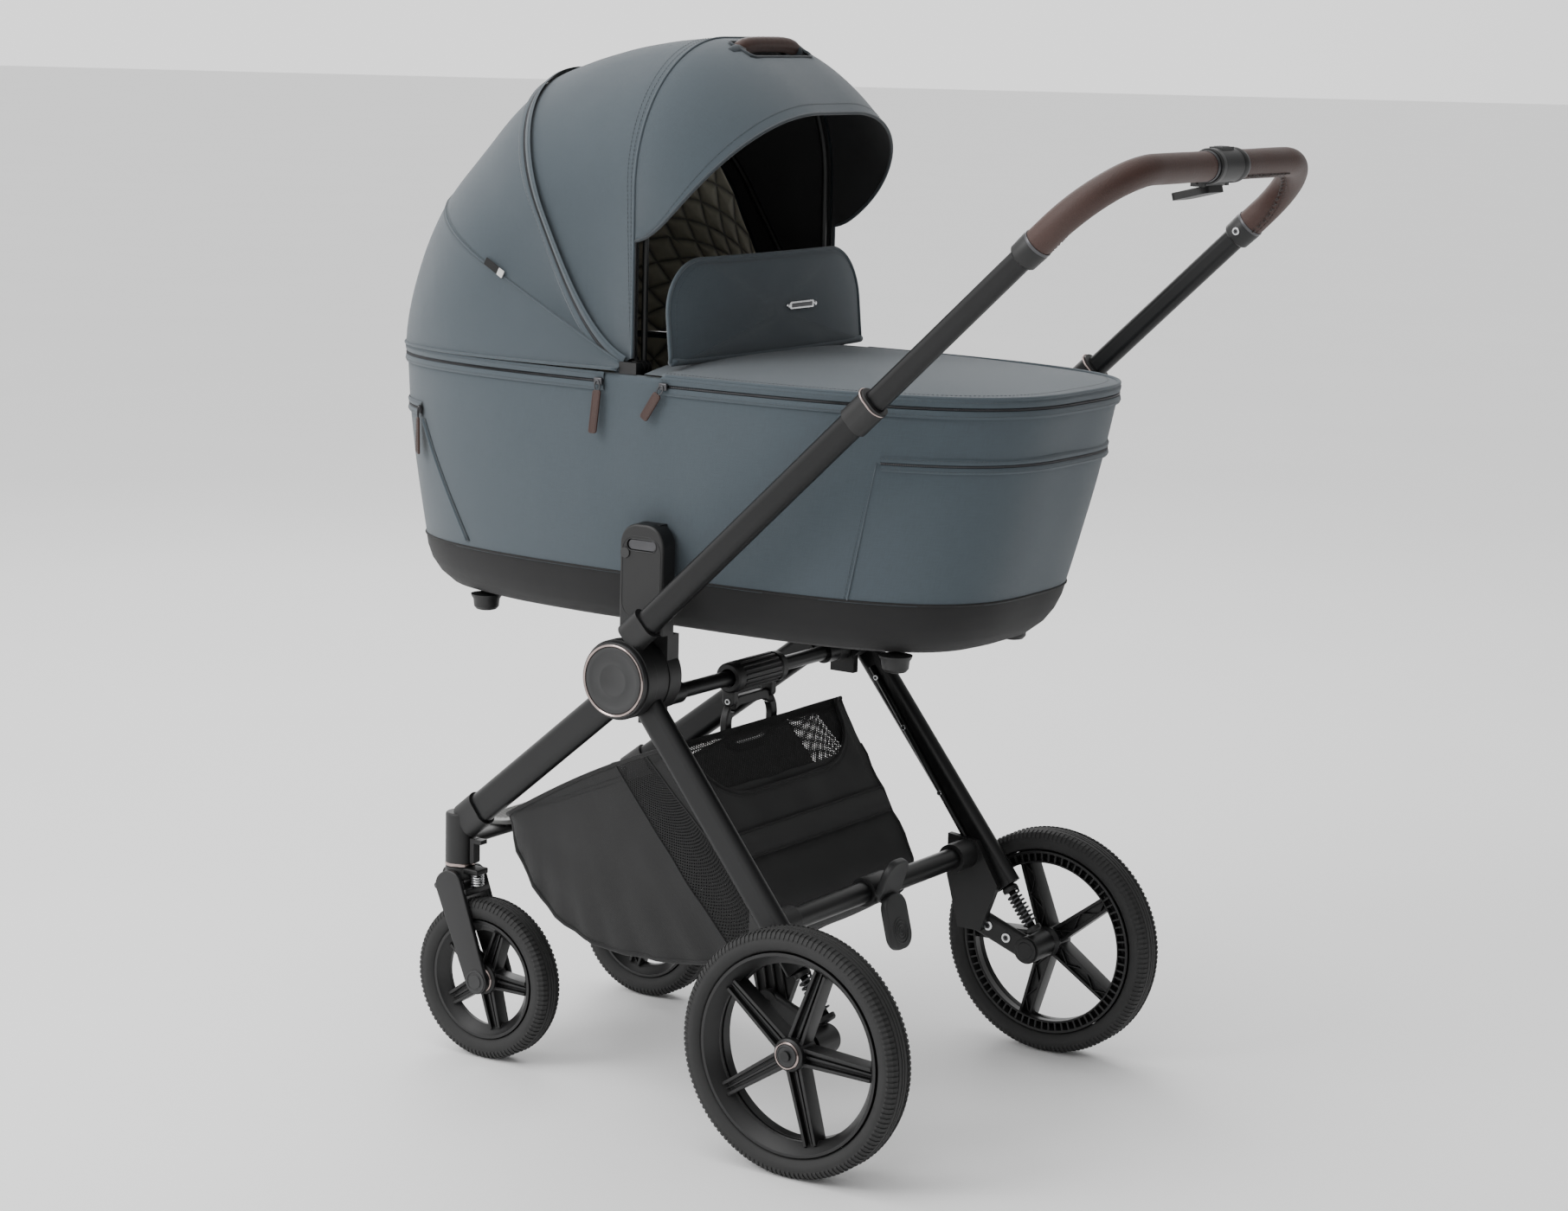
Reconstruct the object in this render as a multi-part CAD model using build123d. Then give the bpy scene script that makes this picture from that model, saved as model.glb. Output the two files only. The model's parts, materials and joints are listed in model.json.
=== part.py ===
"""Carrycot pram: a folding chassis on four wheels that carries a hooded bassinet.

Millimetres. +Z is up, +Y is the direction of travel (towards the small swivelling wheels) and
+X is the right hand of the person who pushes. The geometry is laid out with the rear axle at
y = 0, and every piece is shifted on export so that the origin is the centre of the footprint.
"""
from math import asin, atan2, cos, degrees, hypot, pi, radians, sin, tan
import os

from build123d import *

# ---- wheels ---------------------------------------------------------------------------------
WHEELBASE = 526.0
REAR_WHEEL_R = 140.0
REAR_WHEEL_W = 44.0
REAR_TRACK = 570.0            # between the centres of the rear tyres
FRONT_WHEEL_R = 98.5
FRONT_WHEEL_W = 38.0
FRONT_TRACK = 330.0
TYRE_DEPTH = 25.0
RIM_DEPTH = 16.0
SPOKES = 5
SPOKE_W = 15.0
AXLE_R = 6.0
RUN_FIT = 0.05                # radial clearance of a running fit
GAP = 0.6                     # clearance between faces that slide past each other
SEAT_GAP = 0.1                # clearance between pieces that are fixed together

# ---- folding hub ----------------------------------------------------------------------------
HUB_Y = 272.0
HUB_Z = 515.0
HUB_R = 46.0
HUB_PIN_R = 8.0
FRONT_LAYER = (196.0, 218.0)  # distance of each layer of the hub from the middle plane
REAR_LAYER = (219.0, 241.0)
HANDLE_LAYER = (242.0, 258.0)
CAP_T = 6.0
CAP_RING_T = 1.6
FOLD_CLEARANCE_R = 88.0       # inside it the handle leaves the rear legs' layer free

# ---- chassis tubes --------------------------------------------------------------------------
LEG_DEPTH = 38.0              # oval legs, seen from the side
LEG_WIDTH = 20.0
LEG_WALL = 2.0
CASTER_TRAIL = 46.0           # of the front axle behind the swivel axis
SOCKET_R = 18.0
SOCKET_TOP = 292.0
SOCKET_BOTTOM = 232.0
ELBOW_WALL = 3.0              # of the sleeve at the top of the socket, round the leg's end
ELBOW_LENGTH = 34.0           # along the leg
STEM_R = 7.0
CASTER_H = 15.0
FORK_PIN_R = 4.0
SHELF_T = 7.0                 # of the caster's shelf over the spring
LOCK_T = 6.0
CROSS_TUBE_R = 13.0
CROSS_TUBE_Y = 84.0
CROSS_TUBE_Z = 250.0
FOLD_BAR_Y = 262.0
FOLD_BAR_Z = 486.0
FOLD_BAR_R = 9.0
SLEEVE_R = 19.0
SLEEVE_LENGTH = 104.0
RING_WIDTH = 108.0
RING_HEIGHT = 70.0
RING_BAND = 12.0              # of the pull ring, seen from behind
RING_EAR_X = 40.0             # the ears that it hangs between
RING_EAR_W = 10.0
RING_PIN_R = 2.5
FOOTREST_LENGTH = 200.0
FOOTREST_WIDTH = 46.0
FOOTREST_Z = 276.0

# ---- suspension and brake -------------------------------------------------------------------
ARM_PIVOT_Y = 76.0
ARM_PIVOT_Z = 168.0
ARM_T = 12.0
AXLE_BOSS_R = 17.0
LEG_END_Z = 214.0
PIVOT_PIN_R = 5.0
SPRING_R = 10.0
PEDAL_W = 46.0
PEDAL_T = 9.0

# ---- handle ---------------------------------------------------------------------------------
HANDLE_ANGLE = 43.3           # slope of the tubes above the horizontal
HANDLE_START = (258.0, 565.0)  # where the tube's axis leaves the hub
HANDLE_TRACK = 488.0
HANDLE_LENGTH = 797.0         # along the slope, from the hub to the crossbar of the handlebar
LOWER_TUBE_LENGTH = 423.0
HANDLE_CORNER_R = 92.0
LOWER_TUBE_DEPTH = 31.0
LOWER_TUBE_WIDTH = 22.0
TUBE_WALL = 2.0
TELESCOPE_PLAY = 0.4
INSERTED_LENGTH = 190.0       # of the upper tube, inside the lower one
COLLAR_LENGTH = 34.0
GRIP_R = 16.5
GRIP_START = 678.0            # along the slope
HOUSING_LENGTH = 64.0
HOUSING_R = 18.5
LEVER_AXIS = (10.0, -17.0)    # of the squeeze lever, from the middle of the handlebar
LEVER_PIN_R = 2.5

# ---- carrycot -------------------------------------------------------------------------------
COT_LENGTH = 890.0
COT_WIDTH = 430.0
COT_MID_Y = 273.0
COT_RIM_Z = 855.0
COT_BASE_Z = 560.0
COT_SPLIT_Z = 625.0           # top of the dark base
COT_TAPER = 22.0              # how far the wall leans in from the rim to the split
FOOT_LEAN = 34.0              # how much further the foot end leans in
COT_WALL = 12.0
COT_FLOOR_T = 14.0
PLAN_SQUARENESS = 3.2
MATTRESS_T = 40.0
FOOT_R = 13.0
APRON_T = 9.0
APRON_END_Y = 246.0
FLAP_WIDTH = 392.0
FLAP_HEIGHT = 112.0           # above its hinge
FLAP_T = 12.0
FLAP_CORNER_R = 55.0

# ---- adapters -------------------------------------------------------------------------------
POST_WIDTH = 60.0
POST_TOP = 690.0
POST_LAYER = (207.0, 230.0)
TONGUE_WIDTH = 30.0
TONGUE_T = 9.0
BUTTON_R = 6.0

# ---- hood -----------------------------------------------------------------------------------
HOOD_PIVOT_Y = 297.0
HOOD_PIVOT_Z = 860.0
HOOD_R = {"rim": 417.0, "rear": 396.0, "mid": 385.0, "front": 368.0}
HOOD_ANGLE = {"rim": 2.0, "rear": 27.0, "mid": 58.0, "front": 90.0}
HOOD_HALF = {"rim": 213.0, "rear": 208.0, "mid": 205.0, "front": 205.0}
HOOD_CORNER_R = 168.0
HOOD_CLOTH_T = 3.0
BOW_R = 3.5
BOW_PIN_R = 3.0
BOW_HALF = {"rear": 198.0, "mid": 190.0, "front": 182.0}
BOW_FOOT = 24.0               # the cloth starts this far from the pivot axis
VISOR_DEPTH = 128.0
VISOR_DROP = 62.0
VISOR_LOW = 150.0             # where the peak dies out, above the pivot
CARRY_LENGTH = 120.0
CARRY_R = 9.0
CARRY_AHEAD = 34.0            # from the first bow to the grip's middle, over the peak
CARRY_DROP = 12.0             # of its middle below the top of the first bow's cloth
CARRY_SLOT = 40.0             # the opening under it, across the grip

# ---- basket ---------------------------------------------------------------------------------
BASKET_HALF = 176.0
BASKET_WALL = 4.0

# ---- derived sizes --------------------------------------------------------------------------
SIDES = {"left": -1, "right": 1}
CASTER_Y = WHEELBASE + CASTER_TRAIL
FORK_PIVOT = (CASTER_Y + 15, SOCKET_BOTTOM - 24)   # the front suspension's axis
FORK_ARM_X = FRONT_WHEEL_W / 2 + 4
LOCK_Y = CASTER_Y - SOCKET_R - 4.5                 # the swivel lock's axis
LOCK_Z = SOCKET_BOTTOM + 8
RING_AXIS = (FOLD_BAR_Y + 4, FOLD_BAR_Z - 30)      # of the pull ring
UPPER_DEPTH = LOWER_TUBE_DEPTH - 2 * (TUBE_WALL + TELESCOPE_PLAY)
UPPER_WIDTH = LOWER_TUBE_WIDTH - 2 * (TUBE_WALL + TELESCOPE_PLAY)
BAR_R = UPPER_WIDTH / 2
FLAP_Y = APRON_END_Y - FLAP_T / 2 - 1
FLAP_Z = COT_RIM_Z + APRON_T + GAP + FLAP_T / 2    # the flap's hinge, in its rounded lower edge
RAD = radians(HANDLE_ANGLE)
HANDLE_DIR = Vector(0, -cos(RAD), sin(RAD))
HANDLE_X = HANDLE_TRACK / 2
REAR_X = REAR_TRACK / 2
FRONT_X = FRONT_TRACK / 2
LEG_X = sum(REAR_LAYER) / 2
FRONT_LEG_X = sum(FRONT_LAYER) / 2
GRIP_BACK_Y = HANDLE_START[0] - HANDLE_LENGTH * cos(RAD) - GRIP_R
COT_HEAD_Y = COT_MID_Y + COT_LENGTH / 2
Y_SHIFT = -(GRIP_BACK_Y + COT_HEAD_Y) / 2
LEG_SLOPE = atan2(HUB_Z - CROSS_TUBE_Z, HUB_Y - (CROSS_TUBE_Y - 22))


def save(name, *solids):
    """Write one node, moved so that the origin is under the middle of the object."""
    shape = solids[0] if len(solids) == 1 else Compound(children=list(solids))
    export_step(Pos(0, Y_SHIFT, 0) * shape, f"parts/{name}.step")


def both(shape):
    """The piece for the left side and its mirror image for the right side."""
    return [shape, mirror(shape, about=Plane.YZ)]


def rod(start, end, radius):
    """A round bar between two points."""
    start, end = Vector(*start), Vector(*end)
    plane = Plane(origin=start, z_dir=end - start)
    return extrude(plane * Circle(radius), (end - start).length)


def pipe(start, end, radius, bore):
    return rod(start, end, radius) - rod(start, end, bore)


def oval_bar(start, end, depth, width, narrow=(1, 0, 0)):
    """A bar of oval section, with its narrow side across the object unless another way is given."""
    start, end = Vector(*start), Vector(*end)
    plane = Plane(origin=start, x_dir=narrow, z_dir=end - start)
    return extrude(plane * Rot(0, 0, 90) * SlotOverall(depth, width), (end - start).length)


def oval_tube(start, end, depth, width, wall):
    return oval_bar(start, end, depth, width) - oval_bar(
        start, end, depth - 2 * wall, width - 2 * wall
    )


def disc(inner_x, outer_x, y, z, radius):
    """A disc about an axis across the object, on the left side."""
    return rod((-inner_x, y, z), (-outer_x, y, z), radius)


def along_handle(distance, x=0.0):
    """A point on the handle's slope, this far from the hub."""
    return (
        x,
        HANDLE_START[0] - distance * cos(RAD),
        HANDLE_START[1] + distance * sin(RAD),
    )


def on_front_leg(z):
    """The middle of the left front leg at a height, which leans in towards the caster."""
    top = Vector(-FRONT_LEG_X, HUB_Y, HUB_Z)
    low = Vector(-FRONT_X, CASTER_Y, SOCKET_TOP - 12)
    return top + (low - top) * ((HUB_Z - z) / (HUB_Z - low.Z))


def on_rear_leg(z):
    """The middle of the left rear leg at a height."""
    return Vector(-LEG_X, HUB_Y - (HUB_Z - z) / tan(LEG_SLOPE), z)


# ---- front frame ----------------------------------------------------------------------------
def front_leg():
    start = on_front_leg(HUB_Z - HUB_R * 0.62)
    end = on_front_leg(SOCKET_TOP - 2 + SEAT_GAP)
    return oval_tube(start, end, LEG_DEPTH, LEG_WIDTH, LEG_WALL) - disc(
        FRONT_LAYER[0] - 1, FRONT_LAYER[1] + 1, HUB_Y, HUB_Z, HUB_R + SEAT_GAP
    )


def caster_socket():
    """The bored block that the caster's stem turns in, with a sleeve over the end of a front leg."""
    top = SOCKET_TOP + 2 * ELBOW_WALL
    block = rod((-FRONT_X, CASTER_Y, SOCKET_BOTTOM), (-FRONT_X, CASTER_Y, top), SOCKET_R)
    block = fillet(block.faces().sort_by(Axis.Z)[-1].edges(), ELBOW_WALL)
    low = on_front_leg(SOCKET_TOP - 4)
    sleeve = oval_bar(
        low + (on_front_leg(HUB_Z) - low).normalized() * ELBOW_LENGTH,
        low,
        LEG_DEPTH + 2 * ELBOW_WALL,
        LEG_WIDTH + 2 * ELBOW_WALL,
    )
    bore = rod(
        (-FRONT_X, CASTER_Y, SOCKET_BOTTOM - 1),
        (-FRONT_X, CASTER_Y, SOCKET_TOP - 12),
        STEM_R + RUN_FIT,
    )
    leg = oval_bar(
        on_front_leg(HUB_Z - HUB_R),
        on_front_leg(SOCKET_TOP - 2),
        LEG_DEPTH + 2 * SEAT_GAP,
        LEG_WIDTH + 2 * SEAT_GAP,
    )
    return block + sleeve - leg - bore


def hub_core():
    """The inner disc of the hub, which carries the front leg, the post and the fold bar."""
    body = disc(*FRONT_LAYER, HUB_Y, HUB_Z, HUB_R)
    ear = Pos(-(FRONT_LAYER[0] + 5), FOLD_BAR_Y, FOLD_BAR_Z) * Box(10, 34, 60)
    return body + ear - disc(FRONT_LAYER[0] - 1, FRONT_LAYER[1] + 1, HUB_Y, HUB_Z, HUB_PIN_R)


def hub_pin():
    return disc(FRONT_LAYER[0], HANDLE_LAYER[1], HUB_Y, HUB_Z, HUB_PIN_R)


def hub_cap():
    """The round cover on the outside of the hub, with a raised rim."""
    inner = HANDLE_LAYER[1] + GAP
    cap = disc(inner, inner + CAP_T, HUB_Y, HUB_Z, HUB_R - 2)
    outer = inner + CAP_T + CAP_RING_T
    ring = disc(inner + CAP_T, outer, HUB_Y, HUB_Z, HUB_R - 4)
    ring -= disc(inner + CAP_T, outer, HUB_Y, HUB_Z, HUB_R - 8)
    return cap + ring


def adapter_post():
    """The upright on the hub, with a channel on its inner face for the carrycot's tongue."""
    half = POST_WIDTH / 2
    low = HUB_Z + HUB_R + 4
    mid_x = -sum(POST_LAYER) / 2
    thick = POST_LAYER[1] - POST_LAYER[0]
    side = Plane(origin=(mid_x, HUB_Y - 11, 0), x_dir=(0, 1, 0), z_dir=(1, 0, 0))
    face = Pos(0, (low + POST_TOP) / 2) * RectangleRounded(POST_WIDTH, POST_TOP - low, 24)
    face += Pos(0, (low + POST_TOP - 50) / 2) * Rectangle(POST_WIDTH, POST_TOP - 50 - low)
    post = extrude(side * face, thick / 2, both=True)
    post = fillet(post.faces().sort_by(Axis.X)[0].edges(), 3)
    root_x = -(FRONT_LAYER[0] + FRONT_LAYER[1]) / 2
    root = Pos(root_x, HUB_Y - 11, (HUB_Z + 20 + low) / 2) * Box(
        FRONT_LAYER[1] - FRONT_LAYER[0], 2 * half, low - HUB_Z - 20 + 0.2
    )
    root -= disc(FRONT_LAYER[0] - 1, FRONT_LAYER[1] + 1, HUB_Y, HUB_Z, HUB_R + SEAT_GAP)
    channel = Pos(-POST_LAYER[0] - TONGUE_T / 2, HUB_Y - 11, POST_TOP - 40) * Box(
        TONGUE_T + 2 * GAP, TONGUE_WIDTH + 2 * GAP, 90
    )
    recess = extrude(
        Plane(origin=(-POST_LAYER[1] + 3, HUB_Y - 11, POST_TOP - 24), x_dir=(0, 1, 0), z_dir=(-1, 0, 0))
        * SlotOverall(40, 13),
        6,
    )
    hole = button_axis(BUTTON_R + RUN_FIT, -POST_LAYER[1] - 1, -POST_LAYER[1] + 7)
    return post + root - channel - recess - hole


def button_axis(radius, outer_x, inner_x):
    y, z = HUB_Y + 11, POST_TOP - 34
    return rod((outer_x, y, z), (inner_x, y, z), radius)


def release_button():
    return button_axis(BUTTON_R, -POST_LAYER[1] - 1.6, -POST_LAYER[1] + 3.5)


def fold_bar():
    """The two-part tube between the hubs."""
    reach = FRONT_LAYER[0] - SEAT_GAP
    tube = pipe((-reach, FOLD_BAR_Y, FOLD_BAR_Z), (reach, FOLD_BAR_Y, FOLD_BAR_Z), FOLD_BAR_R, FOLD_BAR_R - 2)
    ends = [
        pipe(
            (side * reach, FOLD_BAR_Y, FOLD_BAR_Z),
            (side * (reach - 44), FOLD_BAR_Y, FOLD_BAR_Z),
            FOLD_BAR_R + 4,
            FOLD_BAR_R - 2,
        )
        for side in SIDES.values()
    ]
    return tube + ends


def fold_sleeve():
    """The moulded grip on the middle of the fold bar, with two ears for the pull ring."""
    half = SLEEVE_LENGTH / 2
    body = rod((-half, FOLD_BAR_Y, FOLD_BAR_Z), (half, FOLD_BAR_Y, FOLD_BAR_Z), SLEEVE_R)
    for x in (-RING_EAR_X, RING_EAR_X):
        body += Pos(x, FOLD_BAR_Y + 4, FOLD_BAR_Z - 22) * Box(RING_EAR_W, 18, 26)
        body -= rod((x - RING_EAR_W, *RING_AXIS), (x + RING_EAR_W, *RING_AXIS), RING_PIN_R + RUN_FIT)
    return body - rod(
        (-half - 1, FOLD_BAR_Y, FOLD_BAR_Z),
        (half + 1, FOLD_BAR_Y, FOLD_BAR_Z),
        FOLD_BAR_R + SEAT_GAP,
    )


def pull_ring():
    """The ring that is pulled to fold the chassis, hung between the sleeve's ears."""
    centre_z = RING_AXIS[1] + 5 - RING_HEIGHT / 2
    plane = Plane(origin=(0, RING_AXIS[0], centre_z), x_dir=(1, 0, 0), z_dir=(0, 1, 0))
    corner = RING_HEIGHT / 2 - 3
    ring = extrude(plane * RectangleRounded(RING_WIDTH, RING_HEIGHT, corner), 5, both=True)
    hole = RectangleRounded(RING_WIDTH - 2 * RING_BAND, RING_HEIGHT - 2 * RING_BAND, corner - RING_BAND)
    ring -= extrude(plane * hole, 6, both=True)
    ring = fillet(ring.edges().filter_by(Plane.XZ), 2)
    for x in (-RING_EAR_X, RING_EAR_X):
        ring -= Pos(x, RING_AXIS[0], RING_AXIS[1] + 8) * Box(RING_EAR_W + 2 * GAP, 30, 42)
    pin_end = RING_EAR_X + RING_EAR_W / 2 + 1
    pin = rod((-pin_end, *RING_AXIS), (pin_end, *RING_AXIS), RING_PIN_R)
    lug_end = RING_EAR_X - RING_EAR_W / 2 - GAP
    return ring + rod((-lug_end, *RING_AXIS), (lug_end, *RING_AXIS), 5) + pin


def front_bar():
    """The cross member between the caster sockets and the footrest that is moulded on it."""
    reach = FRONT_X - SOCKET_R + 4
    z = FOOTREST_Z - 14
    bar = oval_bar((-reach, CASTER_Y, z), (reach, CASTER_Y, z), 30, 14, narrow=(0, 0, 1))
    plate = extrude(Pos(0, CASTER_Y + 6, FOOTREST_Z - 7) * RectangleRounded(FOOTREST_LENGTH, FOOTREST_WIDTH, 20), 7)
    for side in SIDES.values():
        bar -= rod(
            (side * FRONT_X, CASTER_Y, z - 30), (side * FRONT_X, CASTER_Y, z + 60), SOCKET_R + SEAT_GAP
        )
    return [bar, plate]


# ---- swivelling front wheels ----------------------------------------------------------------
def swivel_lock():
    """The lever on the back of a socket that locks the swivel."""
    lever = Pos(-FRONT_X, LOCK_Y, LOCK_Z + 14) * Box(12, LOCK_T, 28)
    tip = Pos(-FRONT_X, LOCK_Y - 7, LOCK_Z + 25) * Box(12, 14, 5)
    knuckle = rod((-FRONT_X - 6, LOCK_Y, LOCK_Z), (-FRONT_X + 6, LOCK_Y, LOCK_Z), LOCK_T / 2)
    return lever + tip + knuckle


def caster():
    """The swivelling block with its stem."""
    top = SOCKET_BOTTOM - GAP
    block = rod((-FRONT_X, CASTER_Y, top), (-FRONT_X, CASTER_Y, top - CASTER_H), SOCKET_R)
    shelf = Pos(-FRONT_X, CASTER_Y - 22, top - SHELF_T / 2) * Box(22, 26, SHELF_T)
    stem = rod((-FRONT_X, CASTER_Y, top - 1), (-FRONT_X, CASTER_Y, SOCKET_TOP - 14), STEM_R)
    low = FORK_PIVOT[1] - 8
    cheek = Pos(-FRONT_X, FORK_PIVOT[0] - 4, (top - 1 + low) / 2) * Box(14, 22, top - 1 - low)
    return block + shelf + stem + cheek - fork_pin(FORK_PIN_R + RUN_FIT, 30)


def fork_pin(radius, reach):
    return rod((-FRONT_X - reach, *FORK_PIVOT), (-FRONT_X + reach, *FORK_PIVOT), radius)


def fork():
    """Two arms from the pivot under the caster down to the front axle."""
    crown = Pos(-FRONT_X, CASTER_Y - 4, FORK_PIVOT[1] - 4) * Box(2 * FORK_ARM_X + 8, 54, 10)
    crown += fork_pin(FORK_PIN_R + 3, FORK_ARM_X + 4)
    crown -= Pos(-FRONT_X, CASTER_Y + 10, FORK_PIVOT[1]) * Box(14 + 2 * GAP, 60, 24)
    crown += fork_pin(FORK_PIN_R, FORK_ARM_X + 4)
    arms = Part()
    for side in (-1, 1):
        x = -FRONT_X + side * FORK_ARM_X
        arms += oval_bar((x, CASTER_Y - 2, FORK_PIVOT[1] + 4), (x, WHEELBASE, FRONT_WHEEL_R), 34, 7)
        arms += rod((x - 4, WHEELBASE, FRONT_WHEEL_R), (x + 4, WHEELBASE, FRONT_WHEEL_R), 17)
    reach = FORK_ARM_X + 5
    axle = rod(
        (-FRONT_X - reach, WHEELBASE, FRONT_WHEEL_R), (-FRONT_X + reach, WHEELBASE, FRONT_WHEEL_R), AXLE_R
    )
    return crown + arms + axle


def front_spring():
    top = SOCKET_BOTTOM - GAP - SHELF_T - SEAT_GAP
    low = FORK_PIVOT[1] + 1 + SEAT_GAP
    y = CASTER_Y - SOCKET_R - SPRING_R + 1
    return rod((-FRONT_X, y, top), (-FRONT_X, y, low), SPRING_R - 3)


# ---- wheels ---------------------------------------------------------------------------------
def ring(inner, outer, width):
    return Rot(0, 90, 0) * (Cylinder(outer, width) - Cylinder(inner, width))


def tyre(radius, width):
    body = ring(radius - TYRE_DEPTH, radius, width)
    edges = body.edges().filter_by(GeomType.CIRCLE).group_by(SortBy.RADIUS)[-1]
    return fillet(edges, width * 0.32)


def rim(radius, width, hub_width):
    """A spoked rim, with a channel in its inner face and a bored hub."""
    outer = radius - TYRE_DEPTH - SEAT_GAP
    inner = outer - RIM_DEPTH
    hub_r = AXLE_R + 14
    body = ring(inner, outer, width) + ring(AXLE_R + RUN_FIT, hub_r, hub_width)
    for index in range(SPOKES):
        spoke = Pos(0, 0, (inner + hub_r) / 2) * Box(width * 0.4, SPOKE_W, inner - hub_r + 4)
        body += Rot(360 * index / SPOKES, 0, 0) * spoke
    return body


def brake_channel(radius, width):
    """The ring-shaped groove that the brake's ribs stand in, open towards the chassis."""
    outer = radius - TYRE_DEPTH - 4
    return Pos(width / 2, 0, 0) * ring(outer - RIM_DEPTH + 7, outer, 22)


# ---- rear frame -----------------------------------------------------------------------------
def rear_leg():
    start = on_rear_leg(HUB_Z - HUB_R * 0.7)
    end = on_rear_leg(LEG_END_Z)
    return oval_tube(start, end, LEG_DEPTH - 2, LEG_WIDTH, LEG_WALL) - disc(
        REAR_LAYER[0] - 1, REAR_LAYER[1] + 1, HUB_Y, HUB_Z, HUB_R - 1 + SEAT_GAP
    )


def rear_hub():
    return disc(*REAR_LAYER, HUB_Y, HUB_Z, HUB_R - 1) - disc(
        REAR_LAYER[0] - 1, REAR_LAYER[1] + 1, HUB_Y, HUB_Z, HUB_PIN_R + RUN_FIT
    )


def rear_cross_tube():
    reach = LEG_X - LEG_WIDTH / 2 - 10
    return pipe(
        (-reach, CROSS_TUBE_Y, CROSS_TUBE_Z),
        (reach, CROSS_TUBE_Y, CROSS_TUBE_Z),
        CROSS_TUBE_R,
        CROSS_TUBE_R - 2,
    )


def rear_bracket():
    """The moulding that joins a leg to the cross tube and holds the swing arm's pivot."""
    inner = LEG_X - LEG_WIDTH / 2 - SEAT_GAP
    side = Plane(origin=(-inner, 0, 0), x_dir=(0, 1, 0), z_dir=(1, 0, 0))
    outline = Polyline(
        (CROSS_TUBE_Y + 26, CROSS_TUBE_Z + 22),
        (CROSS_TUBE_Y - 14, CROSS_TUBE_Z + 18),
        (CROSS_TUBE_Y - 46, CROSS_TUBE_Z - 34),
        (ARM_PIVOT_Y - 16, ARM_PIVOT_Z - 12),
        (ARM_PIVOT_Y + 16, ARM_PIVOT_Z - 12),
        (CROSS_TUBE_Y + 26, CROSS_TUBE_Z - 30),
        close=True,
    )
    plate = extrude(side * make_face(outline), 9)
    boss = rod(
        (-inner, CROSS_TUBE_Y, CROSS_TUBE_Z), (-inner + 44, CROSS_TUBE_Y, CROSS_TUBE_Z), CROSS_TUBE_R + 5
    )
    boss -= rod(
        (-inner + 9, CROSS_TUBE_Y, CROSS_TUBE_Z),
        (-inner + 60, CROSS_TUBE_Y, CROSS_TUBE_Z),
        CROSS_TUBE_R + SEAT_GAP,
    )
    pin = rod(
        (-inner + 4, ARM_PIVOT_Y, ARM_PIVOT_Z), (-inner - ARM_T - 4, ARM_PIVOT_Y, ARM_PIVOT_Z), PIVOT_PIN_R
    )
    return plate + boss + pin


def swing_arm():
    """The sprung arm that carries a rear wheel, with the axle pressed into it."""
    inner = LEG_X - LEG_WIDTH / 2 - SEAT_GAP + GAP
    start = (-inner - ARM_T / 2, ARM_PIVOT_Y, ARM_PIVOT_Z)
    end = (-inner - ARM_T / 2, 0, REAR_WHEEL_R)
    arm = oval_bar(start, end, 30, ARM_T)
    arm += rod((-inner, *start[1:]), (-inner - ARM_T, *start[1:]), 15)
    arm += rod((-inner, *end[1:]), (-REAR_X + REAR_WHEEL_W / 2 + 1, *end[1:]), AXLE_BOSS_R)
    arm -= rod((-inner + 1, *start[1:]), (-inner - ARM_T - 8, *start[1:]), PIVOT_PIN_R + RUN_FIT)
    arm -= rod((-inner + 1, *end[1:]), (-REAR_X, *end[1:]), AXLE_R)
    axle = rod((-inner, *end[1:]), (-REAR_X - REAR_WHEEL_W / 2 - 1, *end[1:]), AXLE_R)
    return [arm, axle]


def rear_spring():
    """The space of the spring between the end of a leg and the swing arm."""
    start = on_rear_leg(LEG_END_Z - 4)
    return rod(start, on_rear_leg(REAR_WHEEL_R + AXLE_BOSS_R + 9), SPRING_R)


def brake_pedal():
    """The two-way pedal that turns on the cross tube."""
    half = PEDAL_W / 2
    sleeve = pipe(
        (-half, CROSS_TUBE_Y, CROSS_TUBE_Z),
        (half, CROSS_TUBE_Y, CROSS_TUBE_Z),
        CROSS_TUBE_R + 5,
        CROSS_TUBE_R + RUN_FIT,
    )
    back = CROSS_TUBE_Y - CROSS_TUBE_R - 12
    upper = Pos(0, back, CROSS_TUBE_Z + 14) * Rot(20, 0, 0) * Box(PEDAL_W, PEDAL_T, 56)
    lower = Pos(0, back - 8, CROSS_TUBE_Z - 34) * Rot(-14, 0, 0) * Box(PEDAL_W, PEDAL_T, 66)
    upper = fillet(upper.edges().filter_by(Axis.Y, tolerance=25), 10)
    lower = fillet(lower.edges().filter_by(Axis.Y, tolerance=25), 10)
    link = Pos(0, CROSS_TUBE_Y - CROSS_TUBE_R - 5, CROSS_TUBE_Z) * Box(PEDAL_W * 0.6, 16, 20)
    bore = rod(
        (-half - 1, CROSS_TUBE_Y, CROSS_TUBE_Z),
        (half + 1, CROSS_TUBE_Y, CROSS_TUBE_Z),
        CROSS_TUBE_R + RUN_FIT,
    )
    return sleeve + upper + lower + link - bore


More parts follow.
